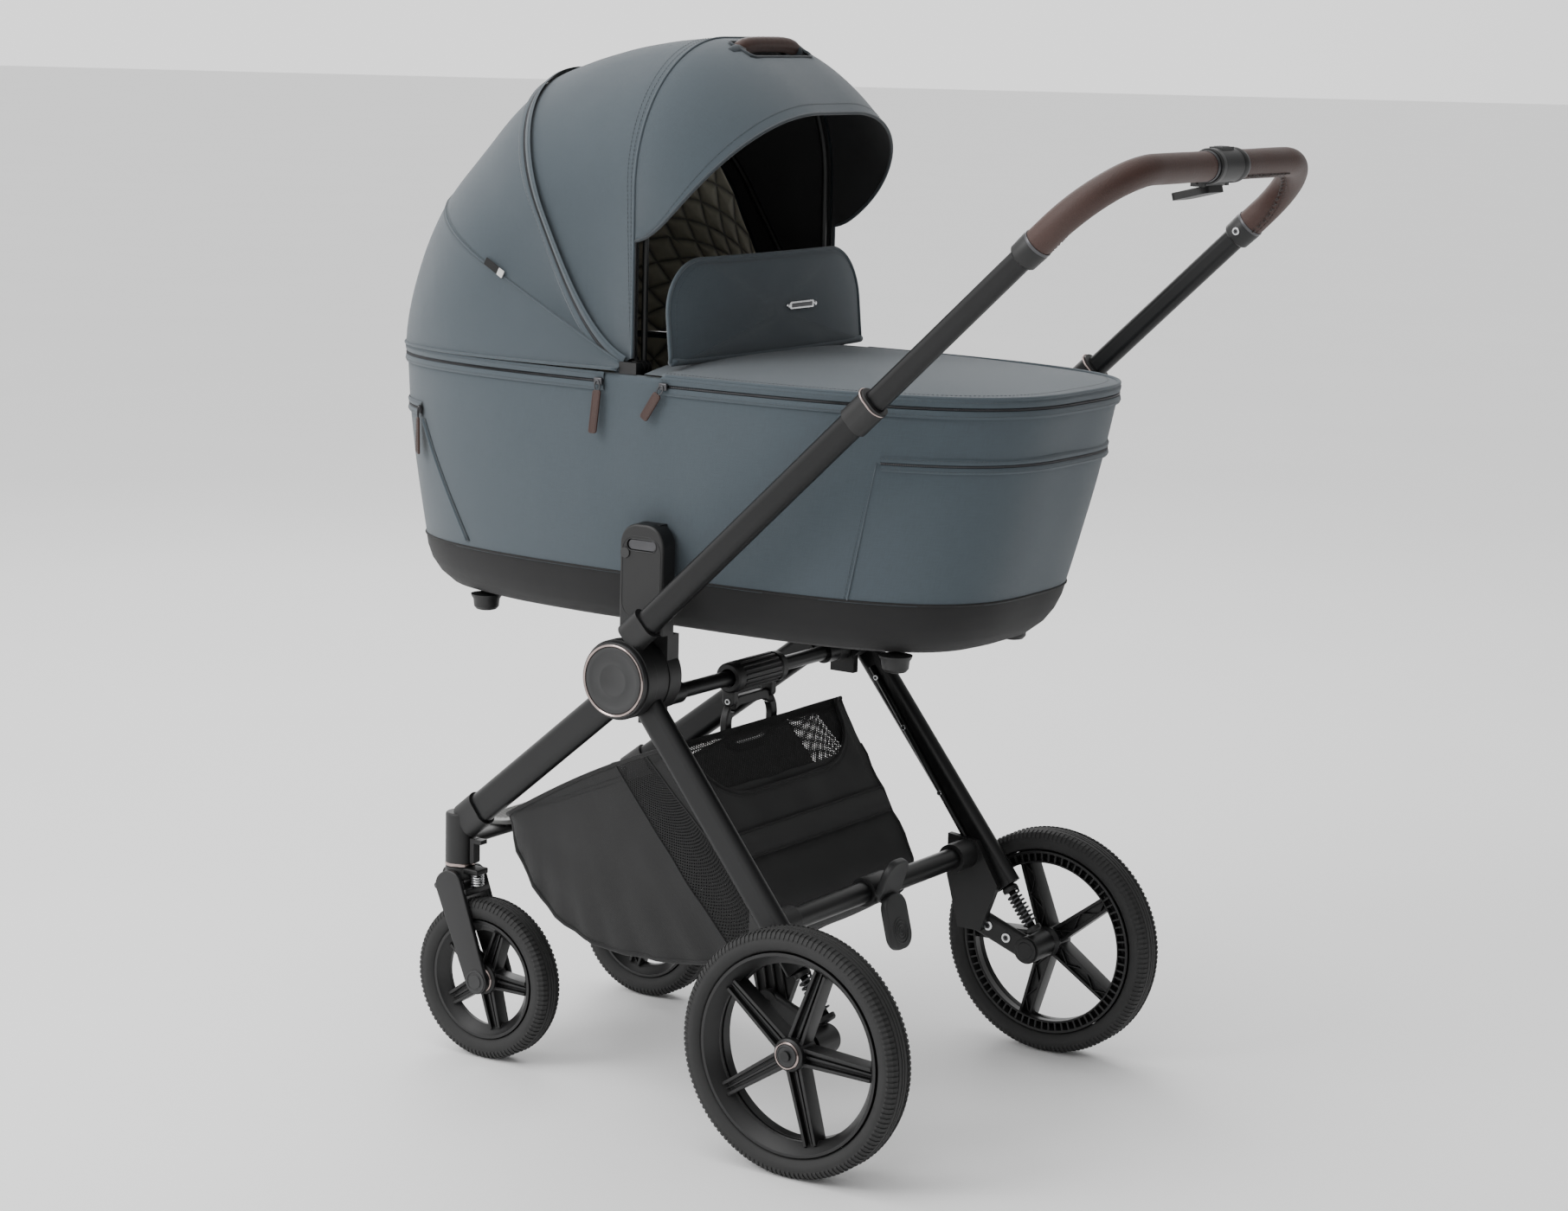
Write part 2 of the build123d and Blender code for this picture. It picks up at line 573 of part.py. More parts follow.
# ---- handle ---------------------------------------------------------------------------------
def handle_hub():
    """The outer disc of the hub, with the socket that the handle tube is pressed into."""
    body = disc(*HANDLE_LAYER, HUB_Y, HUB_Z, HUB_R)
    socket = oval_bar(along_handle(-6, -HANDLE_X - 3), along_handle(26, -HANDLE_X - 3), 39, 22)
    keep_out = disc(REAR_LAYER[0] - 9, REAR_LAYER[1] + GAP, HUB_Y, HUB_Z, FOLD_CLEARANCE_R)
    tube = oval_bar(
        along_handle(2, -HANDLE_X),
        along_handle(60, -HANDLE_X),
        LOWER_TUBE_DEPTH + 2 * SEAT_GAP,
        LOWER_TUBE_WIDTH + 2 * SEAT_GAP,
    )
    bore = disc(HANDLE_LAYER[0] - 1, HANDLE_LAYER[1] + 1, HUB_Y, HUB_Z, HUB_PIN_R + RUN_FIT)
    return body + (socket - keep_out) - tube - bore


def lower_tube():
    return oval_tube(
        along_handle(4, -HANDLE_X),
        along_handle(LOWER_TUBE_LENGTH, -HANDLE_X),
        LOWER_TUBE_DEPTH,
        LOWER_TUBE_WIDTH,
        TUBE_WALL,
    ) - disc(REAR_LAYER[0] - 9, REAR_LAYER[1] + GAP, HUB_Y, HUB_Z, FOLD_CLEARANCE_R)


def telescope_collar():
    start = along_handle(LOWER_TUBE_LENGTH - COLLAR_LENGTH, -HANDLE_X)
    end = along_handle(LOWER_TUBE_LENGTH + 3, -HANDLE_X)
    shell = oval_bar(start, end, LOWER_TUBE_DEPTH + 6, LOWER_TUBE_WIDTH + 6)
    shell -= oval_bar(
        start,
        along_handle(LOWER_TUBE_LENGTH + SEAT_GAP, -HANDLE_X),
        LOWER_TUBE_DEPTH + 2 * SEAT_GAP,
        LOWER_TUBE_WIDTH + 2 * SEAT_GAP,
    )
    return shell - oval_bar(
        start,
        along_handle(LOWER_TUBE_LENGTH + 9, -HANDLE_X),
        LOWER_TUBE_DEPTH - 2 * TUBE_WALL,
        LOWER_TUBE_WIDTH - 2 * TUBE_WALL,
    )


def handlebar_tube():
    """Half of the inner tube, which slides in the lower one and is bent under the grip."""
    straight = oval_tube(
        along_handle(LOWER_TUBE_LENGTH - INSERTED_LENGTH, -HANDLE_X),
        along_handle(GRIP_START, -HANDLE_X),
        UPPER_DEPTH,
        UPPER_WIDTH,
        TUBE_WALL,
    )
    path = bar_path()
    start = Plane(origin=path @ 0, z_dir=path % 0)
    return straight + sweep(start * Circle(BAR_R), path=path)


def bar_path():
    """The middle line of half of the handlebar, from the arm round the corner to the housing."""
    return FilletPolyline(
        along_handle(GRIP_START, -HANDLE_X),
        along_handle(HANDLE_LENGTH, -HANDLE_X),
        along_handle(HANDLE_LENGTH, -HOUSING_LENGTH / 2),
        radius=HANDLE_CORNER_R,
    )


def grip():
    """The padded sleeve on one half of the handlebar."""
    path = bar_path()
    start = Plane(origin=path @ 0, z_dir=path % 0)
    return sweep(start * Circle(GRIP_R), path=path) - sweep(start * Circle(BAR_R + SEAT_GAP), path=path)


def grip_housing():
    """The moulding in the middle of the handlebar that holds the fold button and the lever."""
    half = HOUSING_LENGTH / 2 - SEAT_GAP
    body = rod(along_handle(HANDLE_LENGTH, -half), along_handle(HANDLE_LENGTH, half), HOUSING_R)
    centre = Vector(*along_handle(HANDLE_LENGTH))
    pocket = Pos(centre.X, centre.Y, centre.Z + HOUSING_R) * Box(26 + 2 * GAP, 16 + 2 * GAP, 14)
    lever_room = Pos(0, centre.Y + 8, centre.Z - 17) * Box(48 + 2 * GAP, 30, 19)
    ears = Pos(centre.X, centre.Y + 12, centre.Z - 12) * Box(HOUSING_LENGTH - 1, 14, 20)
    ears -= Pos(centre.X, centre.Y + 12, centre.Z - 12) * Box(48 + 2 * GAP, 40, 60)
    hole = lever_pin(LEVER_PIN_R + RUN_FIT, HOUSING_LENGTH / 2 + 1)
    return body - pocket - lever_room + ears - hole


def lever_pin(radius, reach):
    centre = Vector(*along_handle(HANDLE_LENGTH))
    y, z = centre.Y + LEVER_AXIS[0], centre.Z + LEVER_AXIS[1]
    return rod((-reach, y, z), (reach, y, z), radius)


def fold_button():
    centre = Vector(*along_handle(HANDLE_LENGTH))
    return Pos(centre.X, centre.Y, centre.Z + HOUSING_R - 1.5) * Box(26, 16, 6)


def squeeze_lever():
    """The lever under the handlebar that frees the telescope when it is squeezed up."""
    centre = Vector(*along_handle(HANDLE_LENGTH))
    paddle = Pos(0, centre.Y + 26, centre.Z - 30) * Rot(-14, 0, 0) * Box(46, 44, 8)
    paddle = fillet(paddle.edges().filter_by(Axis.Z, tolerance=25), 8)
    boss = lever_pin(6, 23)
    return paddle + boss + lever_pin(LEVER_PIN_R, HOUSING_LENGTH / 2 - 2)


# ---- carrycot -------------------------------------------------------------------------------
def plan(inset, z, points=28):
    """The carrycot's outline seen from above, a rounded rectangle drawn as a superellipse."""
    half_x, head = COT_WIDTH / 2 - inset, COT_LENGTH / 2 - inset
    foot = head - FOOT_LEAN * max(0.0, COT_RIM_Z - z) / (COT_RIM_Z - COT_SPLIT_Z)
    power = 2 / PLAN_SQUARENESS
    curve = []
    for index in range(points):
        c, s = cos(2 * pi * index / points), sin(2 * pi * index / points)
        x = half_x * abs(c) ** power * (1 if c >= 0 else -1)
        y = COT_MID_Y + abs(s) ** power * (head if s >= 0 else -foot)
        curve.append((x, y, z))
    return make_face(Spline(*curve, periodic=True))


def wall_inset(z):
    """How far the outer wall stands inside the rim's outline at a height."""
    return COT_TAPER * (COT_RIM_Z - z) / (COT_RIM_Z - COT_SPLIT_Z)


def cavity():
    low = COT_BASE_Z + COT_FLOOR_T
    return loft(
        [plan(wall_inset(low) + COT_WALL + 14, low), plan(COT_WALL, COT_RIM_Z + 1)], ruled=True
    )


def cot_cover():
    """The upholstered wall of the carrycot, open at the top."""
    outer = loft([plan(COT_TAPER, COT_SPLIT_Z + SEAT_GAP), plan(0, COT_RIM_Z)], ruled=True)
    return outer - cavity()


def cot_base():
    """The dark tray that the wall stands on, with a rounded lower edge."""
    sections = [
        plan(COT_TAPER + 50, COT_BASE_Z),
        plan(COT_TAPER + 22, COT_BASE_Z + 16),
        plan(COT_TAPER, COT_SPLIT_Z),
    ]
    return loft(sections, ruled=True) - cavity()


def cot_feet():
    feet = []
    for x in (-130.0, 130.0):
        for y in (COT_MID_Y - 290, COT_MID_Y + 290):
            foot = rod((x, y, COT_BASE_Z - 16), (x, y, COT_BASE_Z - SEAT_GAP), FOOT_R)
            feet.append(fillet(foot.faces().sort_by(Axis.Z)[0].edges(), 5))
    return feet


def mattress():
    low = COT_BASE_Z + COT_FLOOR_T + SEAT_GAP
    return extrude(plan(wall_inset(low) + COT_WALL + 19, low), MATTRESS_T)


def connector():
    """The bracket on the carrycot's side whose tongue drops into the adapter post."""
    y = HUB_Y - 11
    wall_x = COT_WIDTH / 2 - wall_inset(COT_SPLIT_Z + 20)
    plate = Pos(-(POST_LAYER[0] + wall_x) / 2 - 1, y, POST_TOP - 32) * Box(
        POST_LAYER[0] - wall_x + 10, TONGUE_WIDTH, 62
    )
    tongue = Pos(-POST_LAYER[0] - TONGUE_T / 2, y, POST_TOP - 32) * Box(TONGUE_T, TONGUE_WIDTH, 62)
    wall = loft([plan(COT_TAPER, COT_SPLIT_Z - 10), plan(0, COT_RIM_Z)], ruled=True)
    return plate + tongue - wall


def apron():
    """The cover over the foot end, laid on the rim."""
    cover = extrude(plan(1.0, COT_RIM_Z + SEAT_GAP), APRON_T)
    keep = Pos(0, APRON_END_Y - 500, COT_RIM_Z) * Box(COT_WIDTH + 40, 1000, 80)
    return cover & keep


def wind_flap():
    plane = Plane(origin=(0, FLAP_Y, FLAP_Z), x_dir=(1, 0, 0), z_dir=(0, -1, 0))
    outline = FilletPolyline(
        (-FLAP_WIDTH / 2, 0),
        (-FLAP_WIDTH / 2, FLAP_HEIGHT),
        (FLAP_WIDTH / 2, FLAP_HEIGHT),
        (FLAP_WIDTH / 2, 0),
        radius=FLAP_CORNER_R,
    )
    face = make_face(outline + Line((FLAP_WIDTH / 2, 0), (-FLAP_WIDTH / 2, 0)))
    edge = rod((-FLAP_WIDTH / 2, FLAP_Y, FLAP_Z), (FLAP_WIDTH / 2, FLAP_Y, FLAP_Z), FLAP_T / 2)
    return extrude(plane * face, FLAP_T / 2, both=True) + edge


# ---- hood -----------------------------------------------------------------------------------
def hood_plane(angle):
    """The plane through the hood's pivot axis at an angle above the forward horizontal."""
    out = Vector(0, cos(radians(angle)), sin(radians(angle)))
    return Plane(
        origin=(0, HOOD_PIVOT_Y, HOOD_PIVOT_Z), x_dir=(1, 0, 0), z_dir=Vector(1, 0, 0).cross(out)
    )


def arch(half, reach, foot, corner):
    """An upside-down U, with straight sides and rounded shoulders."""
    return FilletPolyline((-half, foot), (-half, reach), (half, reach), (half, foot), radius=corner)


def band(half, reach, foot):
    """The section of the cloth along one bow."""
    outer = arch(half, reach, foot, HOOD_CORNER_R)
    inner = arch(half - HOOD_CLOTH_T, reach - HOOD_CLOTH_T, foot, HOOD_CORNER_R - HOOD_CLOTH_T)
    ends = Line((-half, foot), (-half + HOOD_CLOTH_T, foot)) + Line(
        (half, foot), (half - HOOD_CLOTH_T, foot)
    )
    return make_face(outer + inner + ends)


def hood_panel(low, high, low_gap, high_gap):
    """The cloth between two bows."""
    sections = []
    for bow, shift in ((low, low_gap), (high, -high_gap)):
        sections.append(
            hood_plane(HOOD_ANGLE[bow] + shift) * band(HOOD_HALF[bow], HOOD_R[bow], BOW_FOOT + 6)
        )
    return loft(sections, ruled=True)


def hood_bow(name):
    """The sprung hoop that holds the cloth up, with a flat eye at each pivot."""
    half = BOW_HALF[name]
    inset = HOOD_CLOTH_T + BOW_R + 1.5
    path = arch(half, HOOD_R[name] - inset, 0, HOOD_CORNER_R - inset)
    plane = hood_plane(HOOD_ANGLE[name])
    section = Plane(origin=path @ 0, z_dir=path % 0) * Circle(BOW_R)
    bow = plane * sweep(section, path=path)
    for side in SIDES.values():
        x = side * half
        bow += rod(
            (x - BOW_R + 0.4, HOOD_PIVOT_Y, HOOD_PIVOT_Z), (x + BOW_R - 0.4, HOOD_PIVOT_Y, HOOD_PIVOT_Z), 9
        )
        bow -= rod(
            (x - 9, HOOD_PIVOT_Y, HOOD_PIVOT_Z), (x + 9, HOOD_PIVOT_Y, HOOD_PIVOT_Z), BOW_PIN_R + RUN_FIT
        )
    return bow


def hood_pivot():
    """The block on the rim with the pin that the three bows turn on."""
    inner = COT_WIDTH / 2 - COT_WALL + SEAT_GAP
    low = COT_RIM_Z + SEAT_GAP
    block = Pos(-inner - 5, HOOD_PIVOT_Y, low + 6.5) * Box(10, 24, 13)
    return block + disc(BOW_HALF["front"] - BOW_R - 1, inner + 4, HOOD_PIVOT_Y, HOOD_PIVOT_Z, BOW_PIN_R)


def hood_visor():
    """The peak in front of the first bow, dying out at the sides, with a slot for the carry grip."""
    half, reach = HOOD_HALF["front"], HOOD_R["front"]
    top = hood_plane(HOOD_ANGLE["front"] + 1.0) * band(half, reach, VISOR_LOW)
    lean = degrees(atan2(VISOR_DEPTH, reach - VISOR_DROP))
    edge = hood_plane(HOOD_ANGLE["front"] + lean) * band(half, hypot(VISOR_DEPTH, reach - VISOR_DROP), VISOR_LOW)
    shell = loft([top, edge], ruled=True)
    slope = degrees(asin(VISOR_DEPTH / (reach - VISOR_DROP - VISOR_LOW)))
    cut = (
        Pos(0, HOOD_PIVOT_Y - 2, HOOD_PIVOT_Z + VISOR_LOW)
        * Rot(slope, 0, 0)
        * Pos(0, -300, 0)
        * Box(600, 600, 1200)
    )
    slot = Pos(0, HOOD_PIVOT_Y - CARRY_AHEAD, HOOD_PIVOT_Z + reach) * Box(
        CARRY_LENGTH + 2 * GAP, CARRY_SLOT, 60
    )
    return shell - cut - slot


def carry_grip():
    """The leather grip that bridges the slot in the peak."""
    y = HOOD_PIVOT_Y - CARRY_AHEAD
    z = HOOD_PIVOT_Z + HOOD_R["front"] - CARRY_DROP
    return rod((-CARRY_LENGTH / 2, y, z), (CARRY_LENGTH / 2, y, z), CARRY_R)


# ---- basket ---------------------------------------------------------------------------------
def basket():
    """The shopping basket under the carrycot, a tub that is open at the top."""
    outline = FilletPolyline(
        (236, 432),
        (112, 236),
        (190, 176),
        (350, 162),
        (430, 190),
        (494, 284),
        (494, 308),
        radius=[30, 40, 60, 50, 10],
    )
    face = make_face(outline + Line((494, 308), (236, 432)))
    side = Plane(origin=(0, 0, 0), x_dir=(0, 1, 0), z_dir=(1, 0, 0))
    body = extrude(side * face, BASKET_HALF, both=True)
    inner = extrude(side * offset(face, -BASKET_WALL), BASKET_HALF - BASKET_WALL, both=True)
    lift = Pos(0, -BASKET_WALL * 0.5, BASKET_WALL * 1.6) * inner
    return body - inner - lift


def make_wheels(side, name):
    """Tyre and rim of the rear and the front wheel on one side."""
    rear = Pos(side * REAR_X, 0, REAR_WHEEL_R)
    front = Pos(side * FRONT_X, WHEELBASE, FRONT_WHEEL_R)
    rear_rim = rim(REAR_WHEEL_R, REAR_WHEEL_W - 8, REAR_WHEEL_W - 4) - brake_channel(
        REAR_WHEEL_R, -side * (REAR_WHEEL_W - 8)
    )
    save(f"rear_tyre_{name}", rear * tyre(REAR_WHEEL_R, REAR_WHEEL_W))
    save(f"rear_rim_{name}", rear * rear_rim)
    save(f"front_tyre_{name}", front * tyre(FRONT_WHEEL_R, FRONT_WHEEL_W))
    save(f"front_rim_{name}", front * rim(FRONT_WHEEL_R, FRONT_WHEEL_W - 8, FRONT_WHEEL_W - 2))


def main():
    os.makedirs("parts", exist_ok=True)
    paired = {
        "front_legs": front_leg,
        "caster_sockets": caster_socket,
        "hub_cores": hub_core,
        "hub_pins": hub_pin,
        "hub_caps": hub_cap,
        "adapter_posts": adapter_post,
        "rear_legs": rear_leg,
        "rear_hubs": rear_hub,
        "rear_brackets": rear_bracket,
        "rear_springs": rear_spring,
        "handle_hubs": handle_hub,
        "lower_tubes": lower_tube,
        "telescope_collars": telescope_collar,
        "handlebar_tubes": handlebar_tube,
        "grips": grip,
        "cot_connectors": connector,
        "hood_pivots": hood_pivot,
    }
    for name, make in paired.items():
        save(name, *both(make()))
    single = {
        "fold_bar": fold_bar,
        "fold_sleeve": fold_sleeve,
        "pull_ring": pull_ring,
        "rear_cross_tube": rear_cross_tube,
        "brake_pedal": brake_pedal,
        "grip_housing": grip_housing,
        "fold_button": fold_button,
        "squeeze_lever": squeeze_lever,
        "cot_cover": cot_cover,
        "mattress": mattress,
        "apron": apron,
        "wind_flap": wind_flap,
        "hood_visor": hood_visor,
        "carry_grip": carry_grip,
        "basket": basket,
    }
    for name, make in single.items():
        save(name, make())
    save("front_bar", *front_bar())
    save("cot_base", cot_base(), *cot_feet())
    for name in ("rear", "mid", "front"):
        save(f"hood_bow_{name}", hood_bow(name))
    save("hood_panel_rear", hood_panel("rim", "rear", 0.5, 0.3))
    save("hood_panel_mid", hood_panel("rear", "mid", 0.3, 0.3))
    save("hood_panel_front", hood_panel("mid", "front", 0.3, 0.3))
    sided = {
        "release_button": release_button,
        "swivel_lock": swivel_lock,
        "caster": caster,
        "fork": fork,
        "front_spring": front_spring,
        "swing_arm": swing_arm,
    }
    for name, make in sided.items():
        made = make()
        left = made if isinstance(made, list) else [made]
        save(f"{name}_left", *left)
        save(f"{name}_right", *[mirror(piece, about=Plane.YZ) for piece in left])
    for name, side in SIDES.items():
        make_wheels(side, name)


main()
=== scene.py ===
"""Carrycot pram: the look of the model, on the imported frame.

Metres, in the row frame: +Z is up, +Y is the direction of travel, +X is the right hand of the
person who pushes. Lengths that are given in millimetres are named _MM or passed through mm().
"""
import json
import math

import bmesh
import bpy
from mathutils import Matrix, Vector, noise


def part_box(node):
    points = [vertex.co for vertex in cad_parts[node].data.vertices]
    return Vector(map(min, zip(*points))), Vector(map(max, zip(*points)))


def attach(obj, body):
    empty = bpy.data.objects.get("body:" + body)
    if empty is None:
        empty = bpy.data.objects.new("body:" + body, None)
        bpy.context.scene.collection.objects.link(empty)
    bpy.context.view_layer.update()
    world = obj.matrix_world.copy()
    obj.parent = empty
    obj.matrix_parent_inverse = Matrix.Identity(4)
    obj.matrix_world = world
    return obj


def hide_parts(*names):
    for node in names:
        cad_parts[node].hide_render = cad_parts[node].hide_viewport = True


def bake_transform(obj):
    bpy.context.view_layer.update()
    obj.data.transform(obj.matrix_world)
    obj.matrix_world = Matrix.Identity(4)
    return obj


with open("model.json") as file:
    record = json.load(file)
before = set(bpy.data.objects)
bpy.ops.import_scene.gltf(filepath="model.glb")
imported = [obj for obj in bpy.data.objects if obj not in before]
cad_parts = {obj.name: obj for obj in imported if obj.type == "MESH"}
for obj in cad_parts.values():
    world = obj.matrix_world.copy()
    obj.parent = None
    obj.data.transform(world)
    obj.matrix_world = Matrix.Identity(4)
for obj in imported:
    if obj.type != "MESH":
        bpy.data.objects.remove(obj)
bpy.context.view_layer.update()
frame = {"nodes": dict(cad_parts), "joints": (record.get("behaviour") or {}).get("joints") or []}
NODES = frame["nodes"]
JOINTS = {joint["name"]: joint for joint in frame["joints"]}

# ---- camera ---------------------------------------------------------------------------------
CAMERA_AT = (-3.216, -2.110, 1.274)
CAMERA_LOOK = (0.819, 0.545, -0.179)
CAMERA_UP = (0.135, 0.120, 0.984)
LENS_MM = 76.56
FLOOR_HALF = 60.0
WORLD_BRIGHT = 1.55
WORLD_DARK = 0.1
DARK_SIDE = (0.25, -0.96, 0.0)   # the side of the studio that the light falls off to
LAMPS = (                        # name, place, width in metres, watts
    ("key", (-3.2, 1.8, 3.0), 1.8, 70),
    ("top", (-0.6, 0.6, 4.2), 2.6, 45),
    ("rim", (2.6, 2.4, 2.6), 1.6, 30),
)

# ---- wheels ---------------------------------------------------------------------------------
LUGS_PER_METRE = 1000         # of the tyre's radius, round each shoulder
SPOKE_TURN = 0.35              # of the first spoke, in radians, as the photograph has it
SPOKES = 5
REAR_WHEEL_R, REAR_WHEEL_WIDTH = 0.140, 0.044
FRONT_WHEEL_R, FRONT_WHEEL_WIDTH = 0.0985, 0.038
BRAKE_RIBS = 72               # round the inner face of each rear rim

# ---- frame and handle -----------------------------------------------------------------------
TUBE_X = 0.244                # of the handle's tubes, to each side
POST_INNER_X = 0.194          # of the inner face of the uprights
BAR_R = 0.0165                # of the handlebar over its leather
BAR_CORNER = 0.092
GRIP_GAP = 0.032              # from the middle of the handlebar to each leather sleeve
FORK_ARM_X = 0.023            # of a fork's arms, to each side of its wheel

# ---- carrycot -------------------------------------------------------------------------------
PLAN_POWER = 3.2              # of the superellipse that the carrycot's outline follows
WALL_TAPER = 0.022            # how far the wall leans in from the rim to the dark base
FOOT_LEAN = 0.034             # how much further the foot end leans in
WALL_BULGE = 0.004
LINING_DEPTH = 0.25
WELT_R = 0.0022               # piping
ZIP_TAPE = 0.019
APRON_STEP = 0.002            # of the apron's edge above the rim
APRON_CROWN = 0.014           # of its middle above its edge
FLAP_CORNER = 0.062
FLAP_CURVE = 0.0105           # how far the wind flap's ends bend round
FLAP_LEAN = 0.10

# ---- hood: size of the cloth at each bow, from the pivot -------------------------------------
BOW_ANGLE = (-0.5, 27.0, 58.0, 90.0)
BOW_REACH = (0.417, 0.396, 0.385, 0.368)
BOW_HALF = (0.213, 0.208, 0.205, 0.205)
HOOD_CORNER = 0.168
HOOD_FOOT = 0.012
HOOD_SAG = 0.006
BAND_LEAN = 46.0              # how far the zip band turns down towards the rim, in degrees
BAND_REACH = 0.11             # and over what distance from the pivot
HOOD_SAMPLES = 120
VISOR_DEPTH = 0.132
VISOR_DROP = 0.080
VISOR_LOW = 0.145             # where the peak dies out, above the pivot

# ---- cloth ----------------------------------------------------------------------------------
WEAVE_PITCH = 0.0011
STITCH_LENGTH = 0.0032
STITCH_GAP = 0.0018
STITCH_R = 0.0004
QUILT_PITCH = 0.038           # of the diamonds in the hood's lining
QUILT_DEPTH = 0.005
QUILT_POWER = 0.4
QUILT_GAP = 0.016             # between the hood's cloth and the quilting
LINING_GAP = 0.010            # between the hood's cloth and the plain lining

X, Y, Z = Vector((1, 0, 0)), Vector((0, 1, 0)), Vector((0, 0, 1))
SIDES = {"left": -1, "right": 1}


def mm(value):
    return value * 0.001


def mms(*values):
    """Several lengths in millimetres, or pairs of them, as a list in metres."""
    return [tuple(mm(v) for v in value) if isinstance(value, tuple) else mm(value) for value in values]


def joint_at(name):
    return Vector(JOINTS[name]["pos_m"])


def round_turns(count):
    """The angles of evenly spaced points round a circle."""
    return [2 * math.pi * k / count for k in range(count)]


HANDLE_AXIS = Vector(JOINTS["handle_telescope"]["axis"]).normalized()


# ---- materials ------------------------------------------------------------------------------
class Shader:
    """A material made of nodes, with its principled shader as the end of the graph."""

    def __init__(self, name, roughness=0.5, metallic=0.0, sheen=0.0):
        self.material = bpy.data.materials.new(name)
        self.material.use_nodes = True
        self.tree = self.material.node_tree
        self.end = self.tree.nodes["Principled BSDF"]
        self.end.inputs["Roughness"].default_value = roughness
        self.end.inputs["Metallic"].default_value = metallic
        self.end.inputs["Sheen Weight"].default_value = sheen

    def node(self, kind, settings=None, **inputs):
        """A new node. Inputs are given by name, with _ for a space, as values or as sockets."""
        made = self.tree.nodes.new(kind)
        for key, value in (settings or {}).items():
            setattr(made, key, value)
        for key, value in inputs.items():
            socket = made.inputs[int(key[1:])] if key[1:].isdigit() else made.inputs[key.replace("_", " ")]
            if isinstance(value, bpy.types.NodeSocket):
                self.tree.links.new(value, socket)
            else:
                socket.default_value = value
        return made

    def math(self, operation, first, second=0.0):
        return self.node("ShaderNodeMath", {"operation": operation}, i0=first, i1=second).outputs[0]

    def noise(self, scale, detail=3.0, vector=None, stretch=None):
        vector = vector or self.place()
        if stretch:
            vector = self.node("ShaderNodeMapping", Vector=vector, Scale=stretch).outputs[0]
        return self.node("ShaderNodeTexNoise", Vector=vector, Scale=scale, Detail=detail).outputs["Fac"]

    def waves(self, vector, pitch):
        """Bands across X and across Y, one band in each pitch."""
        return [
            self.node(
                "ShaderNodeTexWave", {"bands_direction": way}, Vector=vector, Scale=2 * math.pi / 20 / pitch
            ).outputs["Fac"]
            for way in ("X", "Y")
        ]

    def place(self, name="Object"):
        return self.node("ShaderNodeTexCoord").outputs[name]

    def ramp(self, value, low, high, dark, light):
        """Two colours, mixed as value goes from low to high."""
        made = self.node("ShaderNodeValToRGB", Fac=value)
        made.color_ramp.elements[0].position = low
        made.color_ramp.elements[1].position = high
        made.color_ramp.elements[0].color = (*dark, 1)
        made.color_ramp.elements[1].color = (*light, 1)
        return made.outputs[0]

    def blend(self, factor, first, second):
        made = self.node("ShaderNodeMix", {"data_type": "RGBA"})
        for socket, value in ((made.inputs[0], factor), (made.inputs[6], first), (made.inputs[7], second)):
            if isinstance(value, bpy.types.NodeSocket):
                self.tree.links.new(value, socket)
            else:
                socket.default_value = value if isinstance(value, float) else (*value, 1)
        return made.outputs[2]

    def colour(self, socket):
        self.tree.links.new(socket, self.end.inputs["Base Color"])

    def roughness(self, value, low, high):
        made = self.node("ShaderNodeMapRange", Value=value, To_Min=low, To_Max=high)
        self.tree.links.new(made.outputs[0], self.end.inputs["Roughness"])

    def bump(self, height, distance, strength=1.0, edge=0.0):
        """Relief of this height in metres. edge rounds the corners of a moulded piece by that radius."""
        made = self.node("ShaderNodeBump", Height=height, Distance=distance, Strength=strength)
        if edge:
            rounded = self.node("ShaderNodeBevel", {"samples": 4}, Radius=edge)
            self.tree.links.new(rounded.outputs[0], made.inputs["Normal"])
        self.tree.links.new(made.outputs[0], self.end.inputs["Normal"])

    def edges(self, radius):
        """Where the surface turns within a radius: 0 on a flat face, up to 1 on a sharp edge."""
        rounded = self.node("ShaderNodeBevel", {"samples": 4}, Radius=radius).outputs[0]
        flat = self.node("ShaderNodeNewGeometry").outputs["Normal"]
        dot = self.node("ShaderNodeVectorMath", {"operation": "DOT_PRODUCT"}, i0=rounded, i1=flat)
        turned = self.math("SUBTRACT", 1.0, dot.outputs["Value"])
        return self.node("ShaderNodeMapRange", Value=turned, From_Max=0.25).outputs[0]


def scaled(colour, factor):
    return tuple(channel * factor for channel in colour)


def woven(name, colour, pitch=WEAVE_PITCH, contrast=0.22, sheen=0.25, relief=0.00018):
    """Cloth with crossing threads, heathered yarn and slow changes of tone. Needs a UV map in metres."""
    shader = Shader(name, roughness=0.86, sheen=sheen)
    uv = shader.place("UV")
    waves = shader.waves(uv, pitch)
    crossing = shader.math("ABSOLUTE", shader.math("SUBTRACT", waves[0], waves[1]))
    warp = shader.noise(1.0, 2.0, uv, (900, 60, 1))
    weft = shader.noise(1.0, 2.0, uv, (60, 900, 1))
    yarn = shader.math("MULTIPLY", shader.math("ADD", warp, weft), 0.5)
    tone = shader.noise(7.0, 3.0)
    base = shader.ramp(yarn, 0.36, 0.64, scaled(colour, 1 - contrast), scaled(colour, 1 + contrast))
    aged = shader.blend(shader.math("MULTIPLY", tone, 0.10), base, scaled(colour, 0.6))
    shader.colour(shader.blend(shader.math("MULTIPLY", crossing, 0.16), aged, scaled(colour, 0.45)))
    shader.roughness(yarn, 0.78, 0.95)
    shader.bump(crossing, relief, 0.8)
    return shader.material


